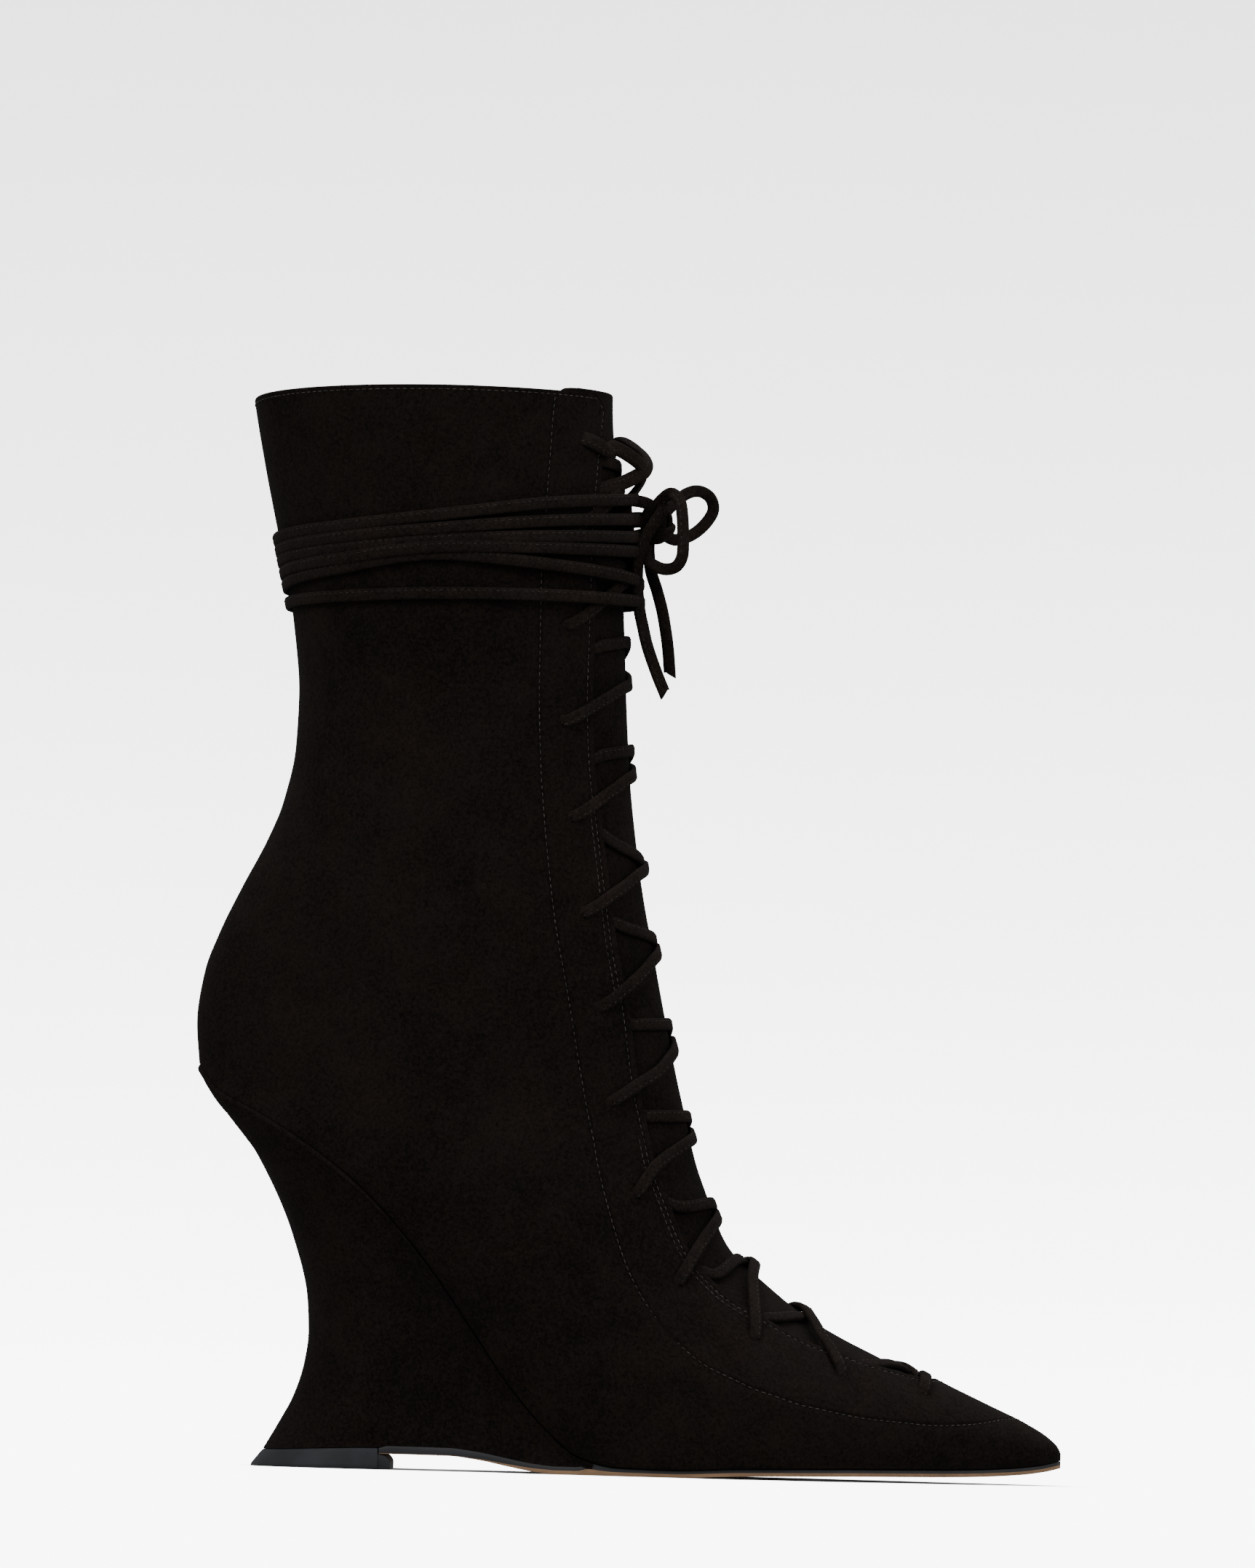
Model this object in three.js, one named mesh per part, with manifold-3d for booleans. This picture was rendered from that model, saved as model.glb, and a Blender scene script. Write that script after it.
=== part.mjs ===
// Lace-up boot in suede on a sculpted wedge heel, right foot.
// Millimetres, +Z up, +X to the toe, +Y to the inner side of the foot.
// While it is modelled, x = 0 is the back of the heel and z = 0 is the floor.
import * as THREE from "three";
import { mergeVertices } from "three/addons/utils/BufferGeometryUtils.js";
import Module from "manifold-3d";

const wasm = await Module();
wasm.setup();

// Driving dimensions of the last and the boot
const LENGTH = 230; // back of the heel to the tip of the toe
const HEEL_HEIGHT = 105; // floor to the back of the seat
const SHAFT_HEIGHT = 175; // seat to the collar
const FOOT_DEPTH = 60; // depth of the foot over the sole, at the instep
const SHAFT_WIDTH = 66; // ankle, side to side
const BALL_WIDTH = 78;
const HEEL_WIDTH = 57;
const TOE_SPRING = 5;
const TOE_SHIFT = 6; // how far the tip lies to the inner side
const ARCH_RISE = 4.1; // underside of the sole at the waist, over the floor

const WALL = 1.8; // suede and lining together
const FIT = 0.3; // gap between pieces that are glued or pressed together
const SEAM_FIT = 0.45; // gap under the feather line, along its curve

const THROAT_HALF = 19.5; // half of the opening over the tongue
const THROAT_CORNER = 7; // round front corner of the collar
const COLLAR_ARCH = 3.2; // how much higher the collar is at its front than at its back
const TONGUE_THICK = 1.6;
const TONGUE_TUCK = 6; // how far the tongue reaches under the facing
const TONGUE_RISE = 3.3; // how far the tongue stands over the collar

const SOLE_THICK = 1.6;
const INSOLE_THICK = 1.5;
const HEEL_TUCK = 18.4; // how far the back of the wedge is hollowed
const SIDE_TUCK = 3.5; // how far its sides are hollowed
const TOP_PIECE_FLARE = 3.6; // how far the top piece runs back at the floor
const TOP_PIECE_LENGTH = 37.5;
const TOP_PIECE_LIP = 3.3; // the part of that length under the end of the sole

const LACE_WIDTH = 3.0;
const LACE_THICK = 1.6;
const HOLE_COUNT = 13; // punched holes on each facing
const HOLE_PITCH = 25.1;
const HOLE_INSET = 9.5; // hole to the edge of the facing
const TOP_HOLE_DROP = 14.1; // top hole to the collar, round its corner
const WRAP_TURNS = 6; // of the lace, round the shaft
const WRAP_PITCH = 3.5; // between turns at the back of the shaft
const WRAP_SPREAD = 0.9; // what the pitch grows by at the front
const WRAP_DROP = 35.4; // first turn to the collar, at the back
const WRAP_RISE = 11.8; // how much higher that turn lies at the front

const SUEDE = { color: 0x151212, roughness: 0.95, metalness: 0 };
const RUBBER = { color: 0x26282c, roughness: 0.6, metalness: 0 };
const LEATHER = { color: 0xa9835f, roughness: 0.6, metalness: 0 };
const LINING = { color: 0x1d1a19, roughness: 0.8, metalness: 0 };

function table(names, rows) {
  return rows.map((row) => Object.fromEntries(names.map((name, i) => [name, row[i]])));
}

// Smooth curve through a table's rows that never swings past them: y over x.
function through(xs, ys) {
  const last = xs.length - 1;
  const slope = (i) => (ys[i + 1] - ys[i]) / (xs[i + 1] - xs[i]);
  const tangents = xs.map((x, i) => {
    if (i === 0) return slope(0);
    if (i === last) return slope(last - 1);
    const before = slope(i - 1);
    const after = slope(i);
    if (before * after <= 0) return 0;
    const near = 2 * (xs[i + 1] - x) + (x - xs[i - 1]);
    const far = xs[i + 1] - x + 2 * (x - xs[i - 1]);
    return (near + far) / (near / before + far / after);
  });
  return (x) => {
    if (x <= xs[0]) return ys[0] + (x - xs[0]) * tangents[0];
    if (x >= xs[last]) return ys[last];
    let i = 0;
    while (x > xs[i + 1]) i += 1;
    const span = xs[i + 1] - xs[i];
    const t = (x - xs[i]) / span;
    const rise = t * t * (3 - 2 * t);
    const lead = t * (1 - t) * (1 - t) * span * tangents[i];
    const trail = t * t * (t - 1) * span * tangents[i + 1];
    return ys[i] * (1 - rise) + ys[i + 1] * rise + lead + trail;
  };
}

const column = (rows, x, y) => through(rows.map((row) => row[x]), rows.map((row) => row[y]));
const numbered = (values) => through(values.map((value, i) => i), values);
const blend = (a, b, t) => a + (b - a) * t;
const bell = (t) => (t <= 0 ? 0 : t >= 1 ? 1 : t * t * (3 - 2 * t));

// Sections of the shaft, from above the collar down to the back of the seat.
// Each runs from a point on the back seam to one on the front ridge, in shares
// of LENGTH along and of SHAFT_HEIGHT over the seat. half is a share of half
// SHAFT_WIDTH, belly is where the section is widest from back to front, and
// crown and round are how square its front and back are (2 is an ellipse).
const SHAFT = table(
  ["backX", "backRise", "frontX", "frontRise", "half", "belly", "crown", "round"],
  [
    [0.039, 1.069, 0.465, 1.069, 1.2, 0.5, 1.86, 2.0],
    [0.046, 1.0, 0.466, 1.0, 1.17, 0.5, 1.86, 2.0],
    [0.061, 0.897, 0.472, 0.897, 1.12, 0.49, 1.85, 2.0],
    [0.079, 0.789, 0.48, 0.783, 1.07, 0.48, 1.84, 2.0],
    [0.097, 0.674, 0.486, 0.663, 1.025, 0.47, 1.82, 2.0],
    [0.106, 0.56, 0.491, 0.546, 1.0, 0.46, 1.79, 2.0],
    [0.104, 0.48, 0.497, 0.44, 0.99, 0.455, 1.83, 2.0],
    [0.093, 0.403, 0.505, 0.354, 0.985, 0.455, 1.93, 2.0],
    [0.074, 0.337, 0.515, 0.271, 0.985, 0.46, 1.98, 2.0],
    [0.048, 0.269, 0.527, 0.194, 0.98, 0.47, 2.0, 2.0],
    [0.023, 0.198, 0.539, 0.117, 0.965, 0.49, 2.09, 2.0],
    [0.007, 0.137, 0.549, 0.056, 0.945, 0.5, 2.17, 2.0],
    [0.0, 0.066, 0.56, -0.008, 0.935, 0.5, 2.19, 2.05],
    [0.004, 0.0, 0.568, -0.05, 0.935, 0.5, 2.2, 2.1],
  ],
);
// Sections of the foot, from the heel to the tip of the toe. Each rises from
// the feather line at seatX to a point on the ridge whose height is a share of
// HEEL_HEIGHT and one of FOOT_DEPTH. half is a share of half BALL_WIDTH.
const FOOT = table(
  ["seatX", "topX", "topLift", "topDepth", "half", "belly", "crown", "round"],
  [
    [0.078, 0.576, 0.85, -0.011, 0.8, 0.5, 2.1, 2.2],
    [0.183, 0.584, 0.72, 0.107, 0.82, 0.48, 1.9, 2.6],
    [0.278, 0.594, 0.6, 0.213, 0.845, 0.46, 1.78, 3.0],
    [0.367, 0.603, 0.5, 0.302, 0.872, 0.44, 1.68, 3.0],
    [0.452, 0.61, 0.4, 0.408, 0.913, 0.42, 1.62, 3.0],
    [0.53, 0.618, 0.33, 0.469, 0.96, 0.39, 1.56, 3.0],
    [0.6, 0.632, 0.26, 0.522, 0.995, 0.36, 1.5, 3.0],
    [0.652, 0.66, 0.2, 0.537, 1.008, 0.35, 1.48, 3.0],
    [0.702, 0.704, 0.12, 0.545, 0.985, 0.34, 1.6, 3.0],
    [0.754, 0.754, 0.08, 0.505, 0.905, 0.33, 1.8, 3.0],
    [0.804, 0.804, 0.05, 0.471, 0.785, 0.33, 1.95, 3.0],
    [0.858, 0.858, 0.04, 0.38, 0.63, 0.35, 1.95, 3.0],
    [0.913, 0.913, 0.04, 0.282, 0.468, 0.38, 2.0, 3.0],
    [0.957, 0.957, 0.045, 0.196, 0.335, 0.42, 2.05, 2.8],
    [0.983, 0.983, 0.05, 0.129, 0.222, 0.45, 2.1, 2.6],
    [0.996, 0.996, 0.055, 0.075, 0.115, 0.5, 2.1, 2.4],
    [1.0, 1.0, 0.06, 0.037, 0.0, 0.5, 2.1, 2.2],
  ],
);
const COLLAR_ROW = 1;
const SEAT_ROW = SHAFT.length - 1;
const TIP_ROW = SEAT_ROW + FOOT.length;

// Height of the feather line over the forefoot, in shares of HEEL_HEIGHT.
const SEAT_LINE = table(
  ["x", "lift"],
  [
    [0.004, 1.0],
    [0.025, 0.938],
    [0.068, 0.884],
    [0.11, 0.83],
    [0.152, 0.767],
    [0.195, 0.691],
    [0.237, 0.595],
    [0.28, 0.478],
    [0.324, 0.34],
    [0.367, 0.204],
    [0.41, 0.095],
    [0.452, 0.022],
    [0.494, 0.002],
    [0.535, 0.0],
  ],
);
// Underside of the sole: shares of ARCH_RISE and of TOE_SPRING over the floor.
const GROUND_LINE = table(
  ["x", "arch", "spring"],
  [
    [0.0, 0.62, 0.0],
    [0.089, 0.72, 0.0],
    [0.22, 1.0, 0.0],
    [0.3, 0.98, 0.0],
    [0.335, 0.78, 0.0],
    [0.37, 0.41, 0.0],
    [0.4, 0.12, 0.0],
    [0.425, 0.0, 0.0],
    [0.55, 0.0, 0.0],
    [0.63, 0.0, 0.15],
    [0.75, 0.0, 0.27],
    [0.89, 0.0, 0.38],
    [0.95, 0.0, 0.54],
    [0.977, 0.0, 0.7],
    [1.0, 0.0, 0.94],
  ],
);
// Half width of the boot at the feather line, ahead of the round of the heel,
// in shares of half HEEL_WIDTH and half BALL_WIDTH.
const PLAN = table(
  ["x", "heel", "ball"],
  [
    [0.19, 1.0, 0.0],
    [0.3, 0.94, 0.0],
    [0.38, 0.6, 0.26],
    [0.46, 0.3, 0.55],
    [0.54, 0.1, 0.807],
    [0.61, 0.0, 0.945],
    [0.67, 0.0, 0.955],
    [0.73, 0.0, 0.87],
    [0.79, 0.0, 0.73],
    [0.85, 0.0, 0.563],
    [0.91, 0.0, 0.4],
    [0.955, 0.0, 0.285],
    [0.982, 0.0, 0.188],
    [0.996, 0.0, 0.094],
    [1.0, 0.0, 0.0],
  ],
);
const HEEL_ROUND = PLAN[0].x; // length of the round of the heel
// Where the middle of the last lies, in shares of TOE_SHIFT.
const LEAN = table(
  ["x", "shift"],
  [
    [0.0, 0.0],
    [0.3, 0.0],
    [0.45, -0.22],
    [0.62, -0.2],
    [0.8, 0.2],
    [1.0, 1.0],
  ],
);
// Width of the sole and of the base of the wedge, in shares of the plan.
const TREAD = table(
  ["x", "share"],
  [
    [0.089, 0.76],
    [0.175, 0.79],
    [0.25, 0.83],
    [0.33, 0.93],
    [0.4, 0.96],
    [0.5, 0.97],
    [1.0, 0.97],
  ],
);
const TREAD_BACK = 0.089; // back of the wedge's base
const TREAD_ROUND = 0.085; // length of the round of that base
// How deep the wedge is hollowed on its way from the seat to the base.
const HOLLOW = table(
  ["drop", "depth"],
  [
    [0.0, 0.0],
    [0.04, 0.02],
    [0.09, 0.18],
    [0.24, 0.63],
    [0.44, 0.93],
    [0.57, 1.0],
    [0.69, 0.93],
    [0.77, 0.8],
    [0.86, 0.56],
    [0.93, 0.29],
    [1.0, 0.0],
  ],
);
// Half of the opening over the tongue, in shares of THROAT_HALF, by section.
const OPENING = table(
  ["row", "share"],
  [
    [0, 0.5],
    [1, 0.62],
    [2, 0.83],
    [3, 0.95],
    [5, 0.98],
    [9, 1.0],
    [13, 1.04],
    [16, 1.1],
    [18, 1.14],
    [20, 1.22],
    [22, 1.22],
    [23, 1.1],
  ],
);
const THROAT_TURN = 23; // section where the opening starts to close
const THROAT_END = 24.93; // and the one where it ends, in a round

const leanAt = column(LEAN, "x", "shift");
const archAt = column(GROUND_LINE, "x", "arch");
const springAt = column(GROUND_LINE, "x", "spring");
const liftAt = column(SEAT_LINE, "x", "lift");
const heelShare = column(PLAN, "x", "heel");
const ballShare = column(PLAN, "x", "ball");
const treadShare = column(TREAD, "x", "share");
const hollowAt = column(HOLLOW, "drop", "depth");
const openingAt = column(OPENING, "row", "share");

const lean = (x) => TOE_SHIFT * leanAt(x / LENGTH);
const ground = (x) => ARCH_RISE * archAt(x / LENGTH) + TOE_SPRING * springAt(x / LENGTH);
const soleTop = (x) => ground(x) + SOLE_THICK;

// Feather line: where the upper meets the wedge and the sole.
function feather(x) {
  const bed = SOLE_THICK + FIT;
  const lift = Math.max(liftAt(x / LENGTH), 0) * (HEEL_HEIGHT - bed);
  return bed + lift + TOE_SPRING * springAt(x / LENGTH);
}

// Top of the wedge and sole, square to the feather line and just below it.
function bed(x) {
  const step = 0.5;
  const slope = (feather(x + step) - feather(x - step)) / (2 * step);
  return feather(x) - SEAM_FIT * Math.hypot(1, slope);
}

function plan(x) {
  const share = x / LENGTH;
  const heelHalf = HEEL_WIDTH / 2;
  if (share < HEEL_ROUND) {
    const back = SHAFT[SEAT_ROW].backX;
    const ahead = Math.max(share - back, 0) / (HEEL_ROUND - back);
    return heelHalf * Math.sqrt(1 - (1 - ahead) ** 2);
  }
  return heelHalf * heelShare(share) + (BALL_WIDTH / 2) * ballShare(share);
}

function tread(x) {
  const share = x / LENGTH;
  const ahead = (share - TREAD_BACK) / TREAD_ROUND;
  const round = ahead < 1 ? Math.sqrt(1 - (1 - Math.max(ahead, 0)) ** 2) : 1;
  return plan(x) * treadShare(share) * round;
}

// The last, section by section
const backX = numbered(SHAFT.map((row) => row.backX * LENGTH));
const backZ = numbered(SHAFT.map((row) => HEEL_HEIGHT + row.backRise * SHAFT_HEIGHT));
const seatX = numbered([SHAFT[SEAT_ROW].backX, ...FOOT.map((row) => row.seatX)]);
const frontX = numbered([
  ...SHAFT.map((row) => row.frontX * LENGTH),
  ...FOOT.map((row) => row.topX * LENGTH),
]);
const frontZ = numbered([
  ...SHAFT.map((row) => HEEL_HEIGHT + row.frontRise * SHAFT_HEIGHT),
  ...FOOT.map((row) => row.topLift * HEEL_HEIGHT + row.topDepth * FOOT_DEPTH),
]);
const halfWidth = numbered([
  ...SHAFT.map((row) => (row.half * SHAFT_WIDTH) / 2),
  ...FOOT.map((row) => (row.half * BALL_WIDTH) / 2),
]);
const shapeColumn = (name) => numbered([...SHAFT, ...FOOT].map((row) => row[name]));
const bellyAt = shapeColumn("belly");
const crownAt = shapeColumn("crown");
const roundAt = shapeColumn("round");
const WIDEST_SEAT = 0.985; // the seat stays this share of a section's width

function section(row) {
  const onFoot = row > SEAT_ROW;
  const x = onFoot ? seatX(row - SEAT_ROW) * LENGTH : backX(row);
  const half = Math.max(halfWidth(row), 0);
  const foot = onFoot && half > 0 ? Math.min(plan(x) / half, WIDEST_SEAT) : 0;
  const round = roundAt(row);
  return {
    back: [x, onFoot ? feather(x) : backZ(row)],
    front: [frontX(row), frontZ(row)],
    half,
    belly: bellyAt(row),
    crown: crownAt(row),
    round,
    reach: bellyAt(row) / (1 - foot ** round) ** (1 / round),
    end: onFoot ? Math.PI - Math.asin(foot ** (round / 2)) : Math.PI,
  };
}

// A point of the outer skin. angle is 0 on the ridge, negative on the outer
// side of the foot, and reaches the section's end at the seam or the feather.
function skin(row, angle) {
  const cut = section(row);
  const turn = Math.abs(angle) > Math.PI ? angle - Math.sign(angle) * 2 * Math.PI : angle;
  const phi = Math.min(Math.abs(turn), cut.end);
  const front = phi <= Math.PI / 2;
  const power = 2 / (front ? cut.crown : cut.round);
  const wide = cut.half * Math.sin(phi) ** power;
  const along = Math.abs(Math.cos(phi)) ** power;
  const t = front ? cut.belly + (1 - cut.belly) * along : cut.belly - cut.reach * along;
  const x = blend(cut.back[0], cut.front[0], t);
  const z = blend(cut.back[1], cut.front[1], t);
  return new THREE.Vector3(x, lean(x) + Math.sign(turn) * wide, z);
}

function skinNormal(row, angle) {
  const step = 0.04;
  const top = Math.min(row + step, TIP_ROW);
  const down = skin(top, angle).sub(skin(Math.max(row - step, 0), angle));
  const end = section(row).end;
  const wraps = end === Math.PI;
  const far = wraps ? angle + step : Math.min(angle + step, end);
  const near = wraps ? angle - step : Math.max(angle - step, -end);
  return down.cross(skin(row, far).sub(skin(row, near))).normalize();
}

const lifted = (row, angle, height) =>
  skin(row, angle).addScaledVector(skinNormal(row, angle), height);

const angleAt = (row, wide) => {
  const cut = section(row);
  return Math.asin(Math.min(wide / cut.half, 1) ** (cut.crown / 2));
};

// Half of the opening over the tongue at a section.
function opening(row) {
  const past = (row - THROAT_TURN) / (THROAT_END - THROAT_TURN);
  const close = past > 0 ? Math.sqrt(Math.max(1 - past ** 2, 0)) : 1;
  const rowHeight = backZ(COLLAR_ROW) - backZ(COLLAR_ROW + 1);
  const above = 1 - ((row - COLLAR_ROW) * rowHeight) / THROAT_CORNER;
  const corner = above > 0 ? THROAT_CORNER * (1 - Math.sqrt(Math.max(1 - above ** 2, 0))) : 0;
  return THROAT_HALF * openingAt(row) * close + corner;
}

// One side of a section in small steps, with the way run from its start.
function walk(row, start, end, side) {
  const samples = 60;
  const angles = Array.from({ length: samples + 1 }, (_, i) => blend(start, end, i / samples));
  const points = angles.map((angle) => skin(row, side * angle));
  const run = [0];
  for (let i = 1; i <= samples; i += 1) {
    run.push(run[i - 1] + points[i].distanceTo(points[i - 1]));
  }
  return { angles, run, whole: run[samples] };
}

function angleAfter({ angles, run }, way) {
  let i = 0;
  while (i < run.length - 2 && run[i + 1] < way) i += 1;
  const t = (way - run[i]) / Math.max(run[i + 1] - run[i], 1e-9);
  return blend(angles[i], angles[i + 1], Math.min(t, 1));
}

// Angles spread along one side of a section, by shares of its run.
function spaced(row, start, end, side, shares) {
  const path = walk(row, start, end, side);
  return shares.map((share) => angleAfter(path, share * path.whole));
}

// Angle at a way along the skin from the edge of the facing.
function behindFacing(row, way) {
  const start = angleAt(row, opening(row));
  return angleAfter(walk(row, start, section(row).end, -1), way);
}

// Closed solids from quads and triangles
const quad = (a, b, c, d) => [a, b, c, a, c, d];

function solid(points) {
  const geometry = new THREE.BufferGeometry().setFromPoints(points);
  const merged = mergeVertices(geometry, 1e-4);
  const position = merged.getAttribute("position");
  const source = merged.getIndex().array;
  const kept = [];
  for (let i = 0; i < source.length; i += 3) {
    const [a, b, c] = source.slice(i, i + 3);
    if (a !== b && b !== c && c !== a) kept.push(a, b, c);
  }
  let volume = 0;
  const corner = (index) => new THREE.Vector3().fromBufferAttribute(position, index);
  for (let i = 0; i < kept.length; i += 3) {
    const [a, b, c] = [corner(kept[i]), corner(kept[i + 1]), corner(kept[i + 2])];
    volume += a.dot(b.cross(c));
  }
  if (volume < 0) kept.reverse();
  merged.setIndex(kept);
  return merged;
}

// A bar of four-cornered sections, closed at both ends.
function bar(sections) {
  const faces = [];
  for (let i = 0; i + 1 < sections.length; i += 1) {
    const [here, next] = [sections[i], sections[i + 1]];
    here.forEach((corner, k) => {
      const m = (k + 1) % here.length;
      faces.push(...quad(corner, here[m], next[m], next[k]));
    });
  }
  const first = sections[0];
  const last = sections.at(-1);
  for (let k = 1; k + 1 < first.length; k += 1) {
    faces.push(first[0], first[k + 1], first[k]);
    faces.push(last[0], last[k], last[k + 1]);
  }
  return solid(faces);
}

function manifold(geometry) {
  const vertProperties = new Float32Array(geometry.getAttribute("position").array);
  const triVerts = new Uint32Array(geometry.getIndex().array);
  return new wasm.Manifold(new wasm.Mesh({ numProp: 3, vertProperties, triVerts }));
}

function joined(geometries) {
  const whole = geometries.map(manifold).reduce((sum, next) => sum.add(next));
  const { vertProperties, triVerts } = whole.getMesh();
  const geometry = new THREE.BufferGeometry();
  geometry.setAttribute("position", new THREE.BufferAttribute(vertProperties, 3));
  geometry.setIndex(new THREE.BufferAttribute(triVerts, 1));
  return geometry;
}

// Rows and columns of the upper and tongue; rows crowd at the back of the heel
function rowRange(from, to, steps) {
  return Array.from({ length: steps }, (_, i) => blend(from, to, i / steps));
}
const UPPER_ROWS = [
  COLLAR_ROW,
  1.03,
  1.1,
  ...rowRange(1.28, SEAT_ROW, 11),
  ...[0, 0.04, 0.16, 0.36, 0.64].map((past) => SEAT_ROW + past),
  ...rowRange(SEAT_ROW + 1, 17, 5),
  ...rowRange(17, 19, 7),
  ...rowRange(19, THROAT_TURN, 5),
  ...rowRange(THROAT_TURN, THROAT_END, 5),
  ...rowRange(THROAT_END, 27, 3),
  ...rowRange(27, TIP_ROW, 5),
  TIP_ROW,
];
const UPPER_COLUMNS = 10;
const FACING_CROWD = 1.35; // crowds the columns towards the facing

// Inner skin of the upper: a wall inside the outer one, and past PUFF_ROW
// rounded off to a low upright line inside the tip of the toe.
const PUFF_ROW = 27;
const PUFF_LENGTH = 6;
const PUFF_SINK = 0.4; // how much lower that line is than the lining behind it
function lining(row, angle) {
  if (row <= PUFF_ROW) return lifted(row, angle, -WALL);
  const past = (row - PUFF_ROW) / (TIP_ROW - PUFF_ROW);
  const phi = (angle / section(row).end) * section(PUFF_ROW).end;
  const start = lifted(PUFF_ROW, phi, -WALL);
  const twin = lifted(PUFF_ROW, -phi, -WALL);
  start.x = blend(start.x, twin.x, past / 2);
  start.z = blend(start.z, twin.z, past / 2);
  const x = start.x + PUFF_LENGTH * past;
  const side = (start.y - lean(start.x)) * Math.sqrt(Math.max(1 - past ** 2, 0));
  const rise = (start.z - feather(start.x)) * (1 - PUFF_SINK * past);
  return new THREE.Vector3(x, lean(x) + side, feather(x) + rise);
}

// The collar is cut higher from its back to its front.
function archAbove(row, angle) {
  const rowHeight = backZ(COLLAR_ROW) - backZ(COLLAR_ROW + 1);
  const fade = 1 - bell((row - COLLAR_ROW) / 1.2);
  const rise = 1 - (Math.abs(angle) / Math.PI) ** 2.5;
  return (COLLAR_ARCH / rowHeight) * rise * fade;
}

function upperGrid(side) {
  return UPPER_ROWS.map((row) => {
    const start = row < THROAT_END ? angleAt(row, opening(row)) : 0;
    const shares = Array.from(
      { length: UPPER_COLUMNS + 1 },
      (_, j) => (j / UPPER_COLUMNS) ** FACING_CROWD,
    );
    const end = section(row).end;
    return spaced(row, start, end, side, shares).map((angle, j) => {
      const at = row - archAbove(row, angle);
      const outer = skin(at, side * angle);
      const inner = lining(at, side * angle);
      if (j === UPPER_COLUMNS) inner.z = Math.max(inner.z, outer.z);
      if (angle === 0 || end - angle < 1e-9) {
        if (angle === 0 || end === Math.PI) inner.y = lean(inner.x);
      }
      return { outer, inner };
    });
  });
}

function makeUpper() {
  const faces = [];
  for (const side of [-1, 1]) {
    const grid = upperGrid(side);
    const put = (a, b, c, d) => faces.push(...(side < 0 ? quad(a, b, c, d) : quad(d, c, b, a)));
    for (let j = 0; j < UPPER_COLUMNS; j += 1) {
      const [a, b] = [grid[0][j], grid[0][j + 1]];
      put(a.outer, b.outer, b.inner, a.inner);
    }
    for (let i = 0; i + 1 < grid.length; i += 1) {
      const [here, next] = [grid[i], grid[i + 1]];
      for (let j = 0; j < UPPER_COLUMNS; j += 1) {
        put(here[j].outer, next[j].outer, next[j + 1].outer, here[j + 1].outer);
        put(here[j + 1].inner, next[j + 1].inner, next[j].inner, here[j].inner);
      }
      if (UPPER_ROWS[i] < THROAT_END) {
        put(here[0].inner, next[0].inner, next[0].outer, here[0].outer);
      }
      if (UPPER_ROWS[i + 1] > SEAT_ROW) {
        const [a, b] = [here[UPPER_COLUMNS], next[UPPER_COLUMNS]];
        put(a.outer, b.outer, b.inner, a.inner);
      }
    }
  }
  return solid(faces);
}

const TONGUE_END = 25.6; // section where the tongue ends, under the vamp
const TONGUE_END_HALF = 10;
const TONGUE_DIP = 1.2; // how much deeper it lies at that end
function makeTongue() {
  const rowHeight = backZ(0) - backZ(COLLAR_ROW);
  const top = COLLAR_ROW - TONGUE_RISE / rowHeight;
  const even = (row) => row > COLLAR_ROW + 0.2 && (row <= SEAT_ROW || row >= SEAT_ROW + 1);
  const under = UPPER_ROWS.filter((row) => even(row) && row < TONGUE_END - 0.2);
  const rows = [top, ...under, TONGUE_END];
  const columns = 8;
  const grid = rows.map((row) => {
    const tucked = THROAT_HALF * Math.max(openingAt(row), 1) + TONGUE_TUCK;
    const past = bell((row - THROAT_TURN) / (TONGUE_END - THROAT_TURN));
    const reach = angleAt(row, blend(tucked, TONGUE_END_HALF, past));
    return Array.from({ length: columns + 1 }, (_, k) => {
      const angle = reach * ((2 * k) / columns - 1);
      const depth = WALL + FIT + TONGUE_DIP * past;
      const outer = lifted(row, angle, -depth);
      const inner = lifted(row, angle, -depth - TONGUE_THICK);
      return { outer, inner };
    });
  });
  return slabFromGrid(grid);
}

// A sheet with a thickness, from a grid of outer and inner points.
function slabFromGrid(grid) {
  const faces = [];
  const across = grid[0].length - 1;
  const down = grid.length - 1;
  for (let i = 0; i < down; i += 1) {
    const [here, next] = [grid[i], grid[i + 1]];
    for (let k = 0; k < across; k += 1) {
      faces.push(...quad(here[k].outer, next[k].outer, next[k + 1].outer, here[k + 1].outer));
      faces.push(...quad(here[k + 1].inner, next[k + 1].inner, next[k].inner, here[k].inner));
    }
    faces.push(...quad(here[0].inner, next[0].inner, next[0].outer, here[0].outer));
    const [a, b] = [here[across], next[across]];
    faces.push(...quad(a.outer, b.outer, b.inner, a.inner));
  }
  for (let k = 0; k < across; k += 1) {
    const [a, b] = [grid[0][k], grid[0][k + 1]];
    faces.push(...quad(a.outer, b.outer, b.inner, a.inner));
    const [c, d] = [grid[down][k], grid[down][k + 1]];
    faces.push(...quad(c.inner, d.inner, d.outer, c.outer));
  }
  return solid(faces);
}

// Places along the shoe that crowd where a round end needs them.
function lengthwise(from, to, steps, crowdBack, crowdFront) {
  return Array.from({ length: steps + 1 }, (_, i) => {
    const t = i / steps;
    const back = crowdBack ? 1 - Math.cos((t * Math.PI) / 2) : t;
    const both = (1 - Math.cos(t * Math.PI)) / 2;
    const front = crowdFront ? Math.sin((t * Math.PI) / 2) : t;
    const eased = crowdBack && crowdFront ? both : crowdBack ? back : front;
    return blend(from, to, blend(t, eased, 0.8));
  });
}

const corners = (x, half, low, high) => [
  new THREE.Vector3(x, lean(x) - half, low),
  new THREE.Vector3(x, lean(x) + half, low),
  new THREE.Vector3(x, lean(x) + half, high),
  new THREE.Vector3(x, lean(x) - half, high),
];

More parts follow.
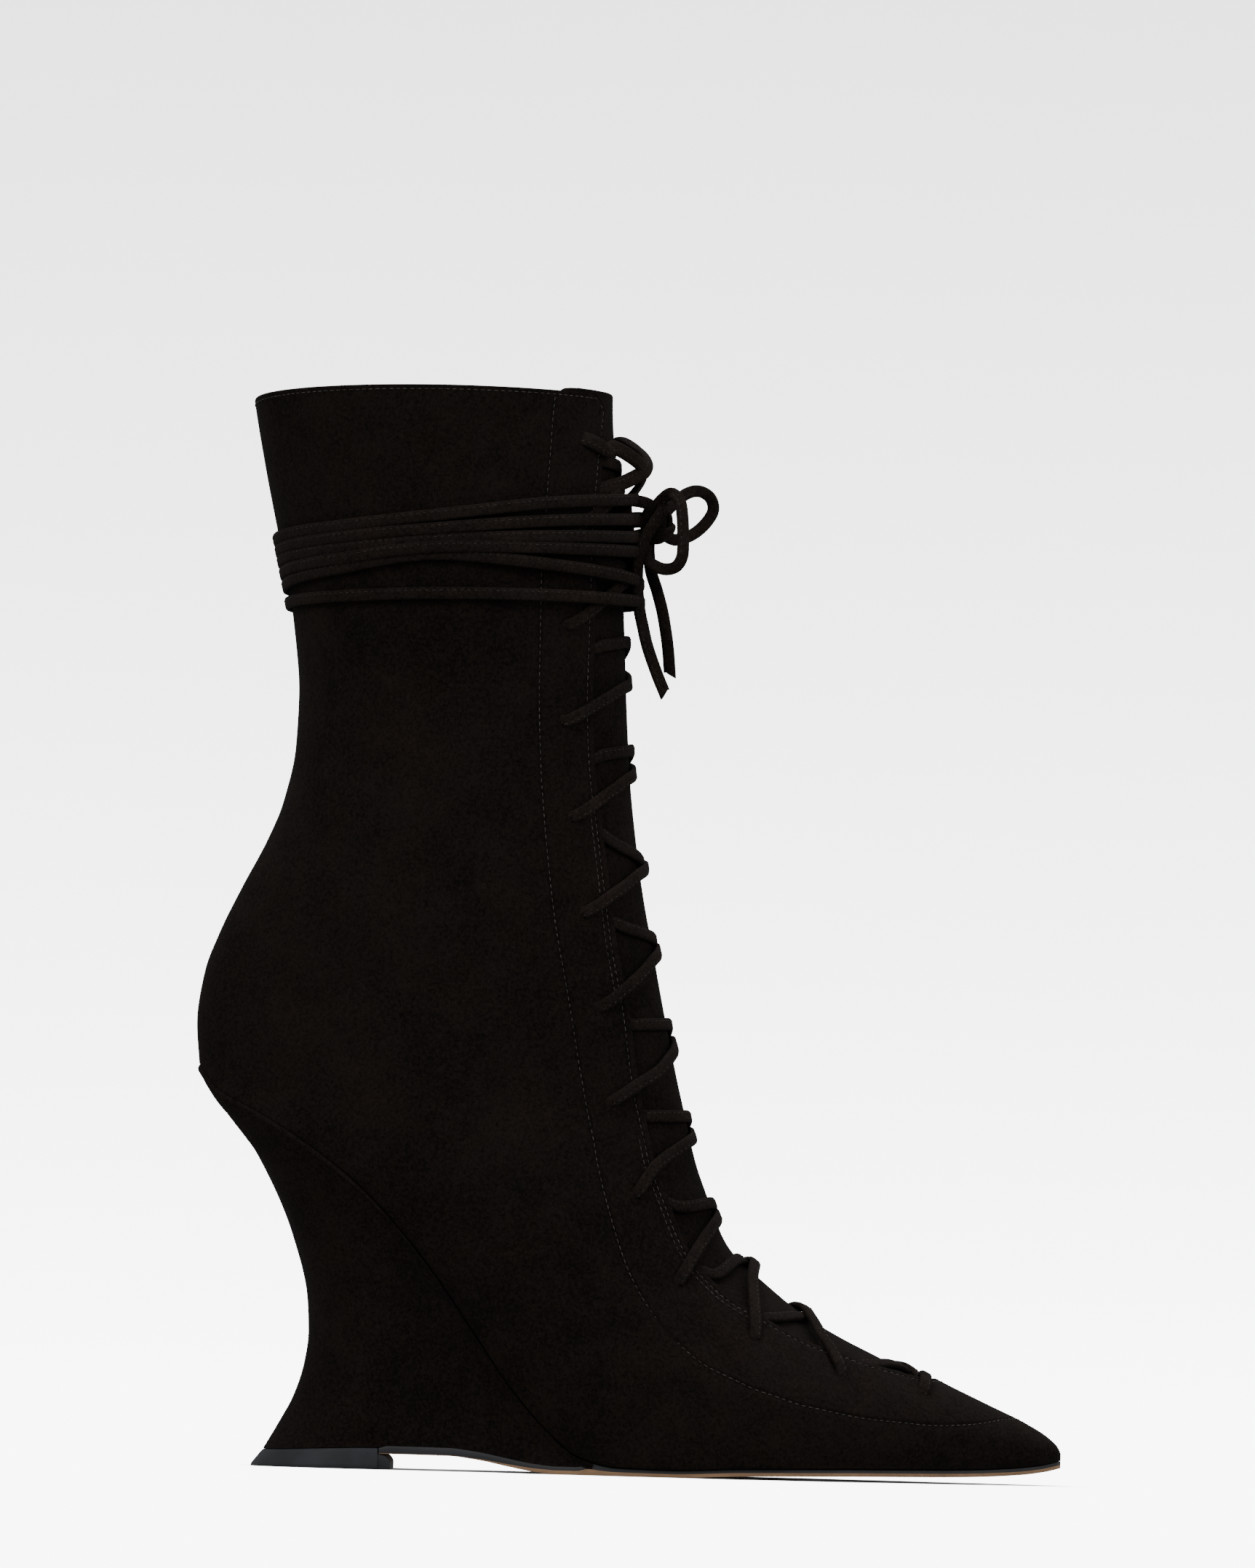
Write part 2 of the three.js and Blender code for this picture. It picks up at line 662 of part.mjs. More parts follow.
// The insole keeps clear of the wall, and more so in the cup of the heel.
const CUP_ROOM = 2.6;
function makeInsole() {
  const inset = WALL + 2 * FIT;
  const back = SHAFT[SEAT_ROW].backX * LENGTH + inset + CUP_ROOM;
  const front = PLAN.at(-3).x * LENGTH - inset - 3;
  return bar(
    lengthwise(back, front, 44, true, false).map((x) => {
      const cup = CUP_ROOM * (1 - bell(x / (HEEL_ROUND * LENGTH)));
      const low = feather(x);
      return corners(x, plan(x - cup) - inset - cup, low, low + INSOLE_THICK);
    }),
  );
}

const TREAD_START = TREAD_BACK * LENGTH;
const SOLE_BACK = TREAD_START + TOP_PIECE_LENGTH - TOP_PIECE_FLARE - TOP_PIECE_LIP;
function makeOutsole() {
  return bar(
    lengthwise(SOLE_BACK + FIT, LENGTH, 52, false, true).map((x) => {
      const high = Math.min(soleTop(x), bed(x));
      return corners(x, tread(x), ground(x), high);
    }),
  );
}

// The wedge is a stack of outlines from the seat down to the base. Each runs
// from its outer front corner round the back to the inner front corner, with
// the points crowded at both ends of a side. The hollow at the back is deepest
// in the middle and is gone where the round of the heel ends.
const WEDGE_FRONT = 0.465;
const WEDGE_EDGE = 0.5; // thickness of its front edge
const WEDGE_LEVELS = 10;
function makeWedge() {
  const front = WEDGE_FRONT * LENGTH;
  const topBack = SHAFT[SEAT_ROW].backX * LENGTH;
  const steps = 24;
  const outline = [];
  for (let i = -steps; i <= steps; i += 1) {
    const share = Math.abs(i) / steps;
    const curl = blend(share, (1 - Math.cos(share * Math.PI)) / 2, 0.7);
    outline.push({ side: Math.sign(i), share: curl });
  }
  const rings = Array.from({ length: WEDGE_LEVELS + 1 }, (_, level) => {
    const drop = level / WEDGE_LEVELS;
    return outline.map(({ side, share }) => {
      const x0 = blend(topBack, front, share);
      const x1 = blend(TREAD_START, front, share);
      const high = new THREE.Vector3(x0, plan(x0), bed(x0));
      const low = new THREE.Vector3(x1, tread(x1), soleTop(x1) + FIT);
      low.z = Math.min(low.z, high.z - WEDGE_EDGE);
      const point = high.lerp(low, drop);
      const around = Math.min(share / (HEEL_ROUND / WEDGE_FRONT), 1);
      const behind = Math.sqrt(Math.max(1 - around ** 2, 0)) * (1 - around) ** 0.3;
      const room = Math.min((bed(x0) - soleTop(x1)) / (HEEL_HEIGHT / 2), 1);
      const depth = hollowAt(drop) * room;
      const wide = Math.max(point.y - SIDE_TUCK * depth * around, 0);
      const x = point.x + HEEL_TUCK * depth * behind;
      return new THREE.Vector3(x, lean(x) + side * wide, point.z);
    });
  });
  const faces = [];
  const last = outline.length - 1;
  for (let level = 0; level < WEDGE_LEVELS; level += 1) {
    const [here, next] = [rings[level], rings[level + 1]];
    for (let i = 0; i < last; i += 1) {
      faces.push(...quad(here[i], next[i], next[i + 1], here[i + 1]));
    }
    faces.push(...quad(here[last], next[last], next[0], here[0]));
  }
  const [top, base] = [rings[0], rings[WEDGE_LEVELS]];
  for (let i = 0; i < steps; i += 1) {
    const [a, b] = [i, last - i];
    faces.push(...quad(top[a], top[a + 1], top[b - 1], top[b]));
    faces.push(...quad(base[b], base[b - 1], base[a + 1], base[a]));
  }
  return solid(faces);
}

// The top piece flares out to the floor and ends in a lip under the sole.
const TOP_PIECE_SPREAD = 1; // how much wider it is at the floor, on each side
function makeTopPiece() {
  const front = TREAD_START + TOP_PIECE_LENGTH - TOP_PIECE_FLARE;
  const station = (share, high) => {
    const highX = blend(TREAD_START, SOLE_BACK, share);
    const lowX = blend(TREAD_START - TOP_PIECE_FLARE, SOLE_BACK, share);
    const highHalf = tread(highX);
    const lowHalf = highHalf + TOP_PIECE_SPREAD * Math.min(highHalf / TOP_PIECE_SPREAD / 8, 1);
    return [
      new THREE.Vector3(lowX, lean(lowX) - lowHalf, 0),
      new THREE.Vector3(lowX, lean(lowX) + lowHalf, 0),
      new THREE.Vector3(highX, lean(highX) + highHalf, high ?? soleTop(highX)),
      new THREE.Vector3(highX, lean(highX) - highHalf, high ?? soleTop(highX)),
    ];
  };
  const stations = lengthwise(0, 1, 18, true, false).map((share) => station(share));
  stations.push(station(1, ground(SOLE_BACK) - FIT));
  const half = tread(SOLE_BACK) - TOP_PIECE_SPREAD;
  stations.push(corners(front, half, 0, ground(front) - FIT));
  return bar(stations);
}

// Laces
// Where the holes are: sections at an even pitch along the facing's edge.
function holeRows() {
  const samples = 400;
  const rows = Array.from({ length: samples + 1 }, (_, i) =>
    blend(COLLAR_ROW, THROAT_END, i / samples));
  const points = rows.map((row) => skin(row, -behindFacing(row, HOLE_INSET)));
  const run = [0];
  for (let i = 1; i <= samples; i += 1) {
    run.push(run[i - 1] + points[i].distanceTo(points[i - 1]));
  }
  return Array.from({ length: HOLE_COUNT }, (_, k) => {
    const goal = TOP_HOLE_DROP + k * HOLE_PITCH;
    const i = run.findIndex((length) => length >= goal);
    return i < 0 ? THROAT_END : rows[i];
  });
}

// A flat lace along stations of a place, the way up from the surface and a way
// along. sides 4 is a strap, 8 is a cord.
function lace(places, ups, sides = 4) {
  return bar(
    places.map((place, i) => {
      const before = places[Math.max(i - 1, 0)];
      const after = places[Math.min(i + 1, places.length - 1)];
      const along = after.clone().sub(before).normalize();
      const across = along.clone().cross(ups[i]).normalize();
      const up = across.clone().cross(along).normalize();
      return Array.from({ length: sides }, (_, k) => {
        const turn = ((k + 0.5) * 2 * Math.PI) / sides;
        const square = sides === 4 ? Math.SQRT2 : 1 / Math.cos(Math.PI / sides);
        return place
          .clone()
          .addScaledVector(across, (LACE_WIDTH / 2) * square * Math.cos(turn))
          .addScaledVector(up, (LACE_THICK / 2) * square * Math.sin(turn));
      });
    }),
  );
}

const ON_SKIN = FIT + LACE_THICK / 2; // middle of a lace that lies on the upper
const CROSSING_HEIGHT = [-0.1, 0.5]; // where it crosses the ridge, at the toe and the collar
const UNDER_FACING = 0.1 - WALL / 2; // and where it slips under the other facing
const EDGE_RISE = 0.3; // how far up a lace has come at its own facing's edge
const SLIP_GAP = 1.7; // where it ends, before the edge of the other facing
const SLIP_RISE = 0.85; // and how high it ends between two holes

// One crossing: a strap from each hole over its own facing, across the ridge
// and up to the edge of the other facing.
function makeCrossing(row, nextRow, rise, height) {
  const straps = [-1, 1].map((side) => {
    const middle = blend(row, nextRow, rise);
    const holeAngle = behindFacing(row, HOLE_INSET);
    const edgeRow = blend(row, nextRow, rise * EDGE_RISE);
    const edgeAngle = angleAt(edgeRow, opening(edgeRow));
    const farRow = blend(row, nextRow, SLIP_RISE);
    const farAngle = angleAt(farRow, Math.max(opening(farRow) - SLIP_GAP, 1));
    const stops = [
      { row, angle: holeAngle, height: ON_SKIN },
      { row: edgeRow, angle: edgeAngle, height: ON_SKIN },
      { row: middle, angle: 0, height },
      { row: farRow, angle: -farAngle, height: UNDER_FACING },
    ];
    const places = [];
    const ups = [];
    for (let i = 0; i + 1 < stops.length; i += 1) {
      const [a, b] = [stops[i], stops[i + 1]];
      const steps = i === 1 ? 3 : 2;
      for (let k = i === 0 ? 0 : 1; k <= steps; k += 1) {
        const t = k / steps;
        const at = blend(a.row, b.row, t);
        const angle = side * blend(a.angle, b.angle, t);
        places.push(lifted(at, angle, blend(a.height, b.height, t)));
        ups.push(skinNormal(at, angle));
      }
    }
    return lace(places, ups);
  });
  return joined(straps);
}

// The lace wound round the shaft, one turn below the other, from the ridge
// over the outer side to the back and home over the inner side.
const WRAP_SLACK = 0.55; // how far the winding stands off the shaft
const OVER_LACING = 3.1; // middle of the winding where it crosses the lacing
const LACING_EDGE = [1.15, 1.55]; // angles between which it comes down to the shaft
function makeWrap() {
  const steps = 26;
  const rowHeight = backZ(COLLAR_ROW + 1) - backZ(COLLAR_ROW + 2);
  const firstRow = COLLAR_ROW + 1;
  const firstDrop = backZ(COLLAR_ROW) - backZ(firstRow);
  const places = [];
  const ups = [];
  for (let i = 0; i <= WRAP_TURNS * steps; i += 1) {
    const turn = i / steps;
    const around = (turn % 1) * 2 * Math.PI;
    const backDrop = WRAP_DROP + WRAP_PITCH * (turn - 0.5);
    const frontDrop = WRAP_DROP - WRAP_RISE + (WRAP_PITCH + WRAP_SPREAD) * turn;
    const drop = blend(frontDrop, backDrop, (1 - Math.cos(around)) / 2);
    const row = firstRow + (drop - firstDrop) / rowHeight;
    const angle = around <= Math.PI ? -around : 2 * Math.PI - around;
    const [near, far] = LACING_EDGE;
    const clear = bell((Math.abs(angle) - near) / (far - near));
    places.push(lifted(row, angle, blend(OVER_LACING, ON_SKIN + WRAP_SLACK, clear)));
    ups.push(skinNormal(row, angle));
  }
  return lace(places, ups);
}

// The bow: knot, two loops and two ends, each point chosen by hand, from the
// middle of the knot, which sits in front of the winding.
const KNOT_DROP = 29.6; // middle of the knot to the collar
const KNOT_OUT = 7.1; // and to the ridge of the shaft
const KNOT_RADII = [3.4, 3.9, 5.0];
const LOOP_NEAR = [
  [1.0, -3.7, 3.1],
  [2.6, -6.0, 6.2],
  [4.9, -8.6, 6.9],
  [6.3, -11.0, 3.4],
  [6.9, -13.0, -2.0],
  [6.9, -13.8, -7.4],
  [6.2, -13.4, -11.2],
  [3.6, -12.0, -12.2],
  [1.0, -10.0, -10.4],
  [0.2, -7.4, -7.6],
  [0.2, -4.6, -4.0],
];
const LOOP_FAR = [
  [1.7, 3.4, 2.9],
  [6.4, 6.4, 8.0],
  [10.4, 8.8, 9.8],
  [13.8, 10.8, 8.4],
  [14.8, 11.8, 5.0],
  [12.6, 12.0, 1.2],
  [9.0, 10.6, -1.9],
  [4.8, 7.6, -3.4],
  [1.6, 4.2, -2.2],
];
const END_NEAR = [
  [-0.4, -2.4, -4.9],
  [-1.4, -5.4, -11.0],
  [-2.0, -7.4, -18.0],
  [-2.0, -7.8, -25.6],
  [-1.2, -7.6, -33.2],
  [0.6, -7.0, -40.0],
  [3.4, -6.4, -45.4],
];
const END_FAR = [
  [2.4, 1.6, -4.6],
  [2.6, 1.0, -12.4],
  [2.8, 1.2, -19.6],
  [3.4, 1.4, -27.0],
  [4.2, 1.6, -34.2],
  [4.4, 1.8, -39.6],
];

const knotMiddle = new THREE.Vector3(
  frontX(COLLAR_ROW + 2) + KNOT_OUT,
  0,
  HEEL_HEIGHT + SHAFT_HEIGHT - KNOT_DROP,
);

// A cord faces away from the shaft, to the side it lies on.
function makeCord(route) {
  const stations = 14;
  const curve = new THREE.CatmullRomCurve3(
    route.map(([x, y, z]) => new THREE.Vector3(x, y, z).add(knotMiddle)),
  );
  const places = curve.getSpacedPoints(stations);
  const ups = places.map((place) => {
    const out = place.clone().sub(knotMiddle);
    return new THREE.Vector3(0.3, Math.sign(out.y), 0).normalize();
  });
  return lace(places, ups, 8);
}

function makeKnot() {
  const knot = new THREE.SphereGeometry(1, 12, 9);
  knot.scale(...KNOT_RADII).translate(...knotMiddle);
  knot.deleteAttribute("normal");
  knot.deleteAttribute("uv");
  const index = knot.getIndex().array;
  const position = knot.getAttribute("position");
  const points = Array.from(index, (i) => new THREE.Vector3().fromBufferAttribute(position, i));
  return solid(points);
}

const boot = new THREE.Group();

function add(name, geometry, look) {
  const mesh = new THREE.Mesh(geometry, new THREE.MeshStandardMaterial(look));
  mesh.name = name;
  boot.add(mesh);
  return mesh;
}

add("upper", makeUpper(), SUEDE);
add("tongue", makeTongue(), SUEDE);
add("insole", makeInsole(), LINING);
add("wedge_heel", makeWedge(), SUEDE);
add("outsole", makeOutsole(), LEATHER);
add("top_piece", makeTopPiece(), RUBBER);

const holes = holeRows().reverse();
// How high each crossing sits between two holes, from the toe to the collar
const CROSSING_RISE = [0.05, 0.35, 0.2, 0.35, 0.82, 0.87, 0.85, 0.62, 0.68, 0.65, 0.65, 0.62];
for (let k = 0; k + 1 < HOLE_COUNT; k += 1) {
  const share = k / (HOLE_COUNT - 2);
  const height = blend(...CROSSING_HEIGHT, share);
  const name = `lace_cross_${String(k + 1).padStart(2, "0")}`;
  add(name, makeCrossing(holes[k], holes[k + 1], CROSSING_RISE[k], height), SUEDE);
}
add("lace_wrap", makeWrap(), SUEDE);

// The model's origin is on the floor under the middle of the boot, bow apart.
const bounds = new THREE.Box3().setFromObject(boot);
const middle = bounds.getCenter(new THREE.Vector3());

add("lace_knot", makeKnot(), SUEDE);
add("lace_loop_near", makeCord(LOOP_NEAR), SUEDE);
add("lace_loop_far", makeCord(LOOP_FAR), SUEDE);
add("lace_end_near", makeCord(END_NEAR), SUEDE);
add("lace_end_far", makeCord(END_FAR), SUEDE);
boot.position.set(-middle.x, -middle.y, 0);

export default boot;
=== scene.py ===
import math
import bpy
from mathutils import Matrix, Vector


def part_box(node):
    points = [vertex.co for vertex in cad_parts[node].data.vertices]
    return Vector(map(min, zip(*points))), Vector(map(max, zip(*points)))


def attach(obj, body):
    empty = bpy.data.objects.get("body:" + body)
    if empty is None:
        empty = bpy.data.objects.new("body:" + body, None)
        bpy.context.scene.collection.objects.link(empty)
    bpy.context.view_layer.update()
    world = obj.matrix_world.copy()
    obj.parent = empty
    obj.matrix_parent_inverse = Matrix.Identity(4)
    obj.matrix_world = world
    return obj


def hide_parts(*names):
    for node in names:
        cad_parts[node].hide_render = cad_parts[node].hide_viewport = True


bl_info = {
    "name": "Laced Wedge Boot",
    "version": (1, 0, 0),
    "blender": (4, 5, 0),
    "location": "3D View > Sidebar > Boot",
    "description": "Dresses the packed boot in suede, laces, stitches and a rubber top piece",
    "category": "Add Mesh",
}

import bpy
import numpy as np
from mathutils import Matrix, Vector

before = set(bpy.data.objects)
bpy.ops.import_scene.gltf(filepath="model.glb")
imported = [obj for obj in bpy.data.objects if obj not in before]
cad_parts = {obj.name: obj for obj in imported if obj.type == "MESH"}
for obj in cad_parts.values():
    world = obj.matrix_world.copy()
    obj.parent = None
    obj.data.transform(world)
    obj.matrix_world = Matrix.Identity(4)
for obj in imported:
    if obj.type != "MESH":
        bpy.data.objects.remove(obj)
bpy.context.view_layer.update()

# Shapes are worked out in the last's own millimetres: x = 0 is the back of the
# heel and z = 0 the floor. HEEL_BACK is that point in the frame, in metres.
MM = 0.001
UPPER_LOW, UPPER_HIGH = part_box("upper")
TOP_PIECE_LOW, TOP_PIECE_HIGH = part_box("top_piece")
HEEL_BACK = np.array([UPPER_LOW[0], (TOP_PIECE_LOW[1] + TOP_PIECE_HIGH[1]) / 2, 0.0])

# The last, as in the part's source
LENGTH = (UPPER_HIGH[0] - UPPER_LOW[0]) / MM
HEEL_HEIGHT = 105.0
SHAFT_HEIGHT = 175.0
FOOT_DEPTH = 60.0
SHAFT_WIDTH = 66.0
BALL_WIDTH = 78.0
HEEL_WIDTH = 57.0
TOE_SPRING = 5.0
TOE_SHIFT = 6.0
ARCH_RISE = 4.1
WALL = 1.8
FIT = 0.3
SEAM_FIT = 0.45
THROAT_HALF = 19.5
THROAT_CORNER = 7.0
COLLAR_ARCH = 3.2
TONGUE_THICK = 1.6
TONGUE_TUCK = 6.0
TONGUE_RISE = 3.3
SOLE_THICK = 1.6
INSOLE_THICK = 1.5
HEEL_TUCK = 18.4
SIDE_TUCK = 3.5
TOP_PIECE_FLARE = 3.6
TOP_PIECE_LENGTH = 37.5
TOP_PIECE_LIP = 3.3
HOLE_COUNT = 13
HOLE_PITCH = 25.1
HOLE_INSET = 9.5
TOP_HOLE_DROP = 14.1

# Sections of the shaft, from above the collar down to the back of the seat:
# back point and front point in shares of the length and of the shaft's height
# over the seat, half width, widest place, and how square front and back are.
SHAFT = np.array([
    (0.039, 1.069, 0.465, 1.069, 1.2, 0.5, 1.86, 2.0),
    (0.046, 1.0, 0.466, 1.0, 1.17, 0.5, 1.86, 2.0),
    (0.061, 0.897, 0.472, 0.897, 1.12, 0.49, 1.85, 2.0),
    (0.079, 0.789, 0.48, 0.783, 1.07, 0.48, 1.84, 2.0),
    (0.097, 0.674, 0.486, 0.663, 1.025, 0.47, 1.82, 2.0),
    (0.106, 0.56, 0.491, 0.546, 1.0, 0.46, 1.79, 2.0),
    (0.104, 0.48, 0.497, 0.44, 0.99, 0.455, 1.83, 2.0),
    (0.093, 0.403, 0.505, 0.354, 0.985, 0.455, 1.93, 2.0),
    (0.074, 0.337, 0.515, 0.271, 0.985, 0.46, 1.98, 2.0),
    (0.048, 0.269, 0.527, 0.194, 0.98, 0.47, 2.0, 2.0),
    (0.023, 0.198, 0.539, 0.117, 0.965, 0.49, 2.09, 2.0),
    (0.007, 0.137, 0.549, 0.056, 0.945, 0.5, 2.17, 2.0),
    (0.0, 0.066, 0.56, -0.008, 0.935, 0.5, 2.19, 2.05),
    (0.004, 0.0, 0.568, -0.05, 0.935, 0.5, 2.2, 2.1),
])
# Sections of the foot, heel to toe: place on the feather line, ridge point as a
# share of the heel's height and one of the foot's depth, half width, widest
# place, and how square the ridge and the side are.
FOOT = np.array([
    (0.078, 0.576, 0.85, -0.011, 0.8, 0.5, 2.1, 2.2),
    (0.183, 0.584, 0.72, 0.107, 0.82, 0.48, 1.9, 2.6),
    (0.278, 0.594, 0.6, 0.213, 0.845, 0.46, 1.78, 3.0),
    (0.367, 0.603, 0.5, 0.302, 0.872, 0.44, 1.68, 3.0),
    (0.452, 0.61, 0.4, 0.408, 0.913, 0.42, 1.62, 3.0),
    (0.53, 0.618, 0.33, 0.469, 0.96, 0.39, 1.56, 3.0),
    (0.6, 0.632, 0.26, 0.522, 0.995, 0.36, 1.5, 3.0),
    (0.652, 0.66, 0.2, 0.537, 1.008, 0.35, 1.48, 3.0),
    (0.702, 0.704, 0.12, 0.545, 0.985, 0.34, 1.6, 3.0),
    (0.754, 0.754, 0.08, 0.505, 0.905, 0.33, 1.8, 3.0),
    (0.804, 0.804, 0.05, 0.471, 0.785, 0.33, 1.95, 3.0),
    (0.858, 0.858, 0.04, 0.38, 0.63, 0.35, 1.95, 3.0),
    (0.913, 0.913, 0.04, 0.282, 0.468, 0.38, 2.0, 3.0),
    (0.957, 0.957, 0.045, 0.196, 0.335, 0.42, 2.05, 2.8),
    (0.983, 0.983, 0.05, 0.129, 0.222, 0.45, 2.1, 2.6),
    (0.996, 0.996, 0.055, 0.075, 0.115, 0.5, 2.1, 2.4),
    (1.0, 1.0, 0.06, 0.037, 0.0, 0.5, 2.1, 2.2),
])
COLLAR_ROW = 1
SEAT_ROW = len(SHAFT) - 1
TIP_ROW = SEAT_ROW + len(FOOT)
THROAT_TURN = 23
THROAT_END = 24.93
TONGUE_END = 25.6

# Feather line over the forefoot: place along, share of the heel's height.
SEAT_LINE = np.array([
    (0.004, 1.0), (0.025, 0.938), (0.068, 0.884), (0.11, 0.83), (0.152, 0.767),
    (0.195, 0.691), (0.237, 0.595), (0.28, 0.478), (0.324, 0.34), (0.367, 0.204),
    (0.41, 0.095), (0.452, 0.022), (0.494, 0.002), (0.535, 0.0),
])
# Underside of the sole: place along, share of the arch, share of the toe spring.
GROUND_LINE = np.array([
    (0.0, 0.62, 0.0), (0.089, 0.72, 0.0), (0.22, 1.0, 0.0), (0.3, 0.98, 0.0),
    (0.335, 0.78, 0.0), (0.37, 0.41, 0.0), (0.4, 0.12, 0.0), (0.425, 0.0, 0.0),
    (0.55, 0.0, 0.0), (0.63, 0.0, 0.15), (0.75, 0.0, 0.27), (0.89, 0.0, 0.38),
    (0.95, 0.0, 0.54), (0.977, 0.0, 0.7), (1.0, 0.0, 0.94),
])
# Half width at the feather line: place along, shares of heel and ball widths.
PLAN = np.array([
    (0.19, 1.0, 0.0), (0.3, 0.94, 0.0), (0.38, 0.6, 0.26), (0.46, 0.3, 0.55),
    (0.54, 0.1, 0.807), (0.61, 0.0, 0.945), (0.67, 0.0, 0.955), (0.73, 0.0, 0.87),
    (0.79, 0.0, 0.73), (0.85, 0.0, 0.563), (0.91, 0.0, 0.4), (0.955, 0.0, 0.285),
    (0.982, 0.0, 0.188), (0.996, 0.0, 0.094), (1.0, 0.0, 0.0),
])
HEEL_ROUND = PLAN[0, 0]
# Middle of the last: place along, share of the toe's shift.
LEAN = np.array([
    (0.0, 0.0), (0.3, 0.0), (0.45, -0.22), (0.62, -0.2), (0.8, 0.2), (1.0, 1.0),
])
# Sole's width: place along, share of the plan.
TREAD = np.array([
    (0.089, 0.76), (0.175, 0.79), (0.25, 0.83), (0.33, 0.93), (0.4, 0.96),
    (0.5, 0.97), (1.0, 0.97),
])
TREAD_BACK = 0.089
TREAD_ROUND = 0.085
# Hollow of the wedge: share of the way down, depth.
HOLLOW = np.array([
    (0.0, 0.0), (0.04, 0.02), (0.09, 0.18), (0.24, 0.63), (0.44, 0.93), (0.57, 1.0),
    (0.69, 0.93), (0.77, 0.8), (0.86, 0.56), (0.93, 0.29), (1.0, 0.0),
])
# Half of the opening over the tongue: section, share.
OPENING = np.array([
    (0, 0.5), (1, 0.62), (2, 0.83), (3, 0.95), (5, 0.98), (9, 1.0), (13, 1.04),
    (16, 1.1), (18, 1.14), (20, 1.22), (22, 1.22), (23, 1.1),
])

TREAD_START = TREAD_BACK * LENGTH
SOLE_BACK = TREAD_START + TOP_PIECE_LENGTH - TOP_PIECE_FLARE - TOP_PIECE_LIP
WEDGE_FRONT = 0.465 * LENGTH
WIDEST_SEAT = 0.985  # of a section's half width, at the feather line


def blend(a, b, t):
    """Straight mix of a and b."""
    return a + (b - a) * t


def bell(t):
    """Soft step from 0 to 1: t squared times (3 - 2 t), level outside."""
    t = np.clip(t, 0, 1)
    return t * t * (3 - 2 * t)


def through(xs, ys):
    """Smooth curve through a table's rows that never swings past them.

    Cubic pieces with harmonic mean slopes, straight before the first row and
    level after the last.
    """
    xs, ys = np.asarray(xs, float), np.asarray(ys, float)
    run = np.diff(xs)
    slope = np.diff(ys) / run
    before, after = slope[:-1], slope[1:]
    near, far = 2 * run[1:] + run[:-1], run[1:] + 2 * run[:-1]
    same = before * after > 0
    safe_before, safe_after = np.where(same, before, 1), np.where(same, after, 1)
    mean = (near + far) / (near / safe_before + far / safe_after)
    tangents = np.concatenate([slope[:1], np.where(same, mean, 0), slope[-1:]])

    def curve(x):
        x = np.asarray(x, float)
        i = np.clip(np.searchsorted(xs, x, side="left") - 1, 0, len(xs) - 2)
        span = xs[i + 1] - xs[i]
        t = np.clip((x - xs[i]) / span, 0, 1)
        rise = t * t * (3 - 2 * t)
        lead = t * (1 - t) ** 2 * span * tangents[i]
        trail = t * t * (t - 1) * span * tangents[i + 1]
        value = ys[i] * (1 - rise) + ys[i + 1] * rise + lead + trail
        return value + np.minimum(x - xs[0], 0) * tangents[0]

    return curve


def numbered(values):
    """Smooth curve through values at 0, 1, 2 and on."""
    return through(np.arange(len(values)), values)


lean_at = through(LEAN[:, 0], LEAN[:, 1])
arch_at = through(GROUND_LINE[:, 0], GROUND_LINE[:, 1])
spring_at = through(GROUND_LINE[:, 0], GROUND_LINE[:, 2])
lift_at = through(SEAT_LINE[:, 0], SEAT_LINE[:, 1])
heel_share = through(PLAN[:, 0], PLAN[:, 1])
ball_share = through(PLAN[:, 0], PLAN[:, 2])
tread_share = through(TREAD[:, 0], TREAD[:, 1])
hollow_at = through(HOLLOW[:, 0], HOLLOW[:, 1])
opening_at = through(OPENING[:, 0], OPENING[:, 1])


def lean(x):
    """Middle of the last at x: the toe's shift times its share."""
    return TOE_SHIFT * lean_at(x / LENGTH)


def ground(x):
    """Underside of the sole at x: arch and toe spring added."""
    return ARCH_RISE * arch_at(x / LENGTH) + TOE_SPRING * spring_at(x / LENGTH)


def sole_top(x):
    """Top of the sole: one thickness over its underside."""
    return ground(x) + SOLE_THICK


def feather(x):
    """Height where the upper meets wedge and sole: sole, slope and toe spring added."""
    bed_height = SOLE_THICK + FIT
    lift = np.maximum(lift_at(x / LENGTH), 0) * (HEEL_HEIGHT - bed_height)
    return bed_height + lift + TOE_SPRING * spring_at(x / LENGTH)


def bed(x):
    """Top of the wedge: the feather line moved down square to its slope."""
    step = 0.5
    slope = (feather(x + step) - feather(x - step)) / (2 * step)
    return feather(x) - SEAM_FIT * np.hypot(1, slope)


def plan(x):
    """Half width at the feather line: a half ellipse round the heel, then the table."""
    share = np.asarray(x, float) / LENGTH
    back = SHAFT[SEAT_ROW, 0]
    ahead = np.clip((share - back) / (HEEL_ROUND - back), 0, 1)
    heel = HEEL_WIDTH / 2 * np.sqrt(1 - (1 - ahead) ** 2)
    rest = HEEL_WIDTH / 2 * heel_share(share) + BALL_WIDTH / 2 * ball_share(share)
    return np.where(share < HEEL_ROUND, heel, rest)


def tread(x):
    """Half width of the sole: a share of the plan, rounded off at the back."""
    share = np.asarray(x, float) / LENGTH
    ahead = np.clip((share - TREAD_BACK) / TREAD_ROUND, 0, 1)
    return plan(x) * tread_share(share) * np.sqrt(1 - (1 - ahead) ** 2)


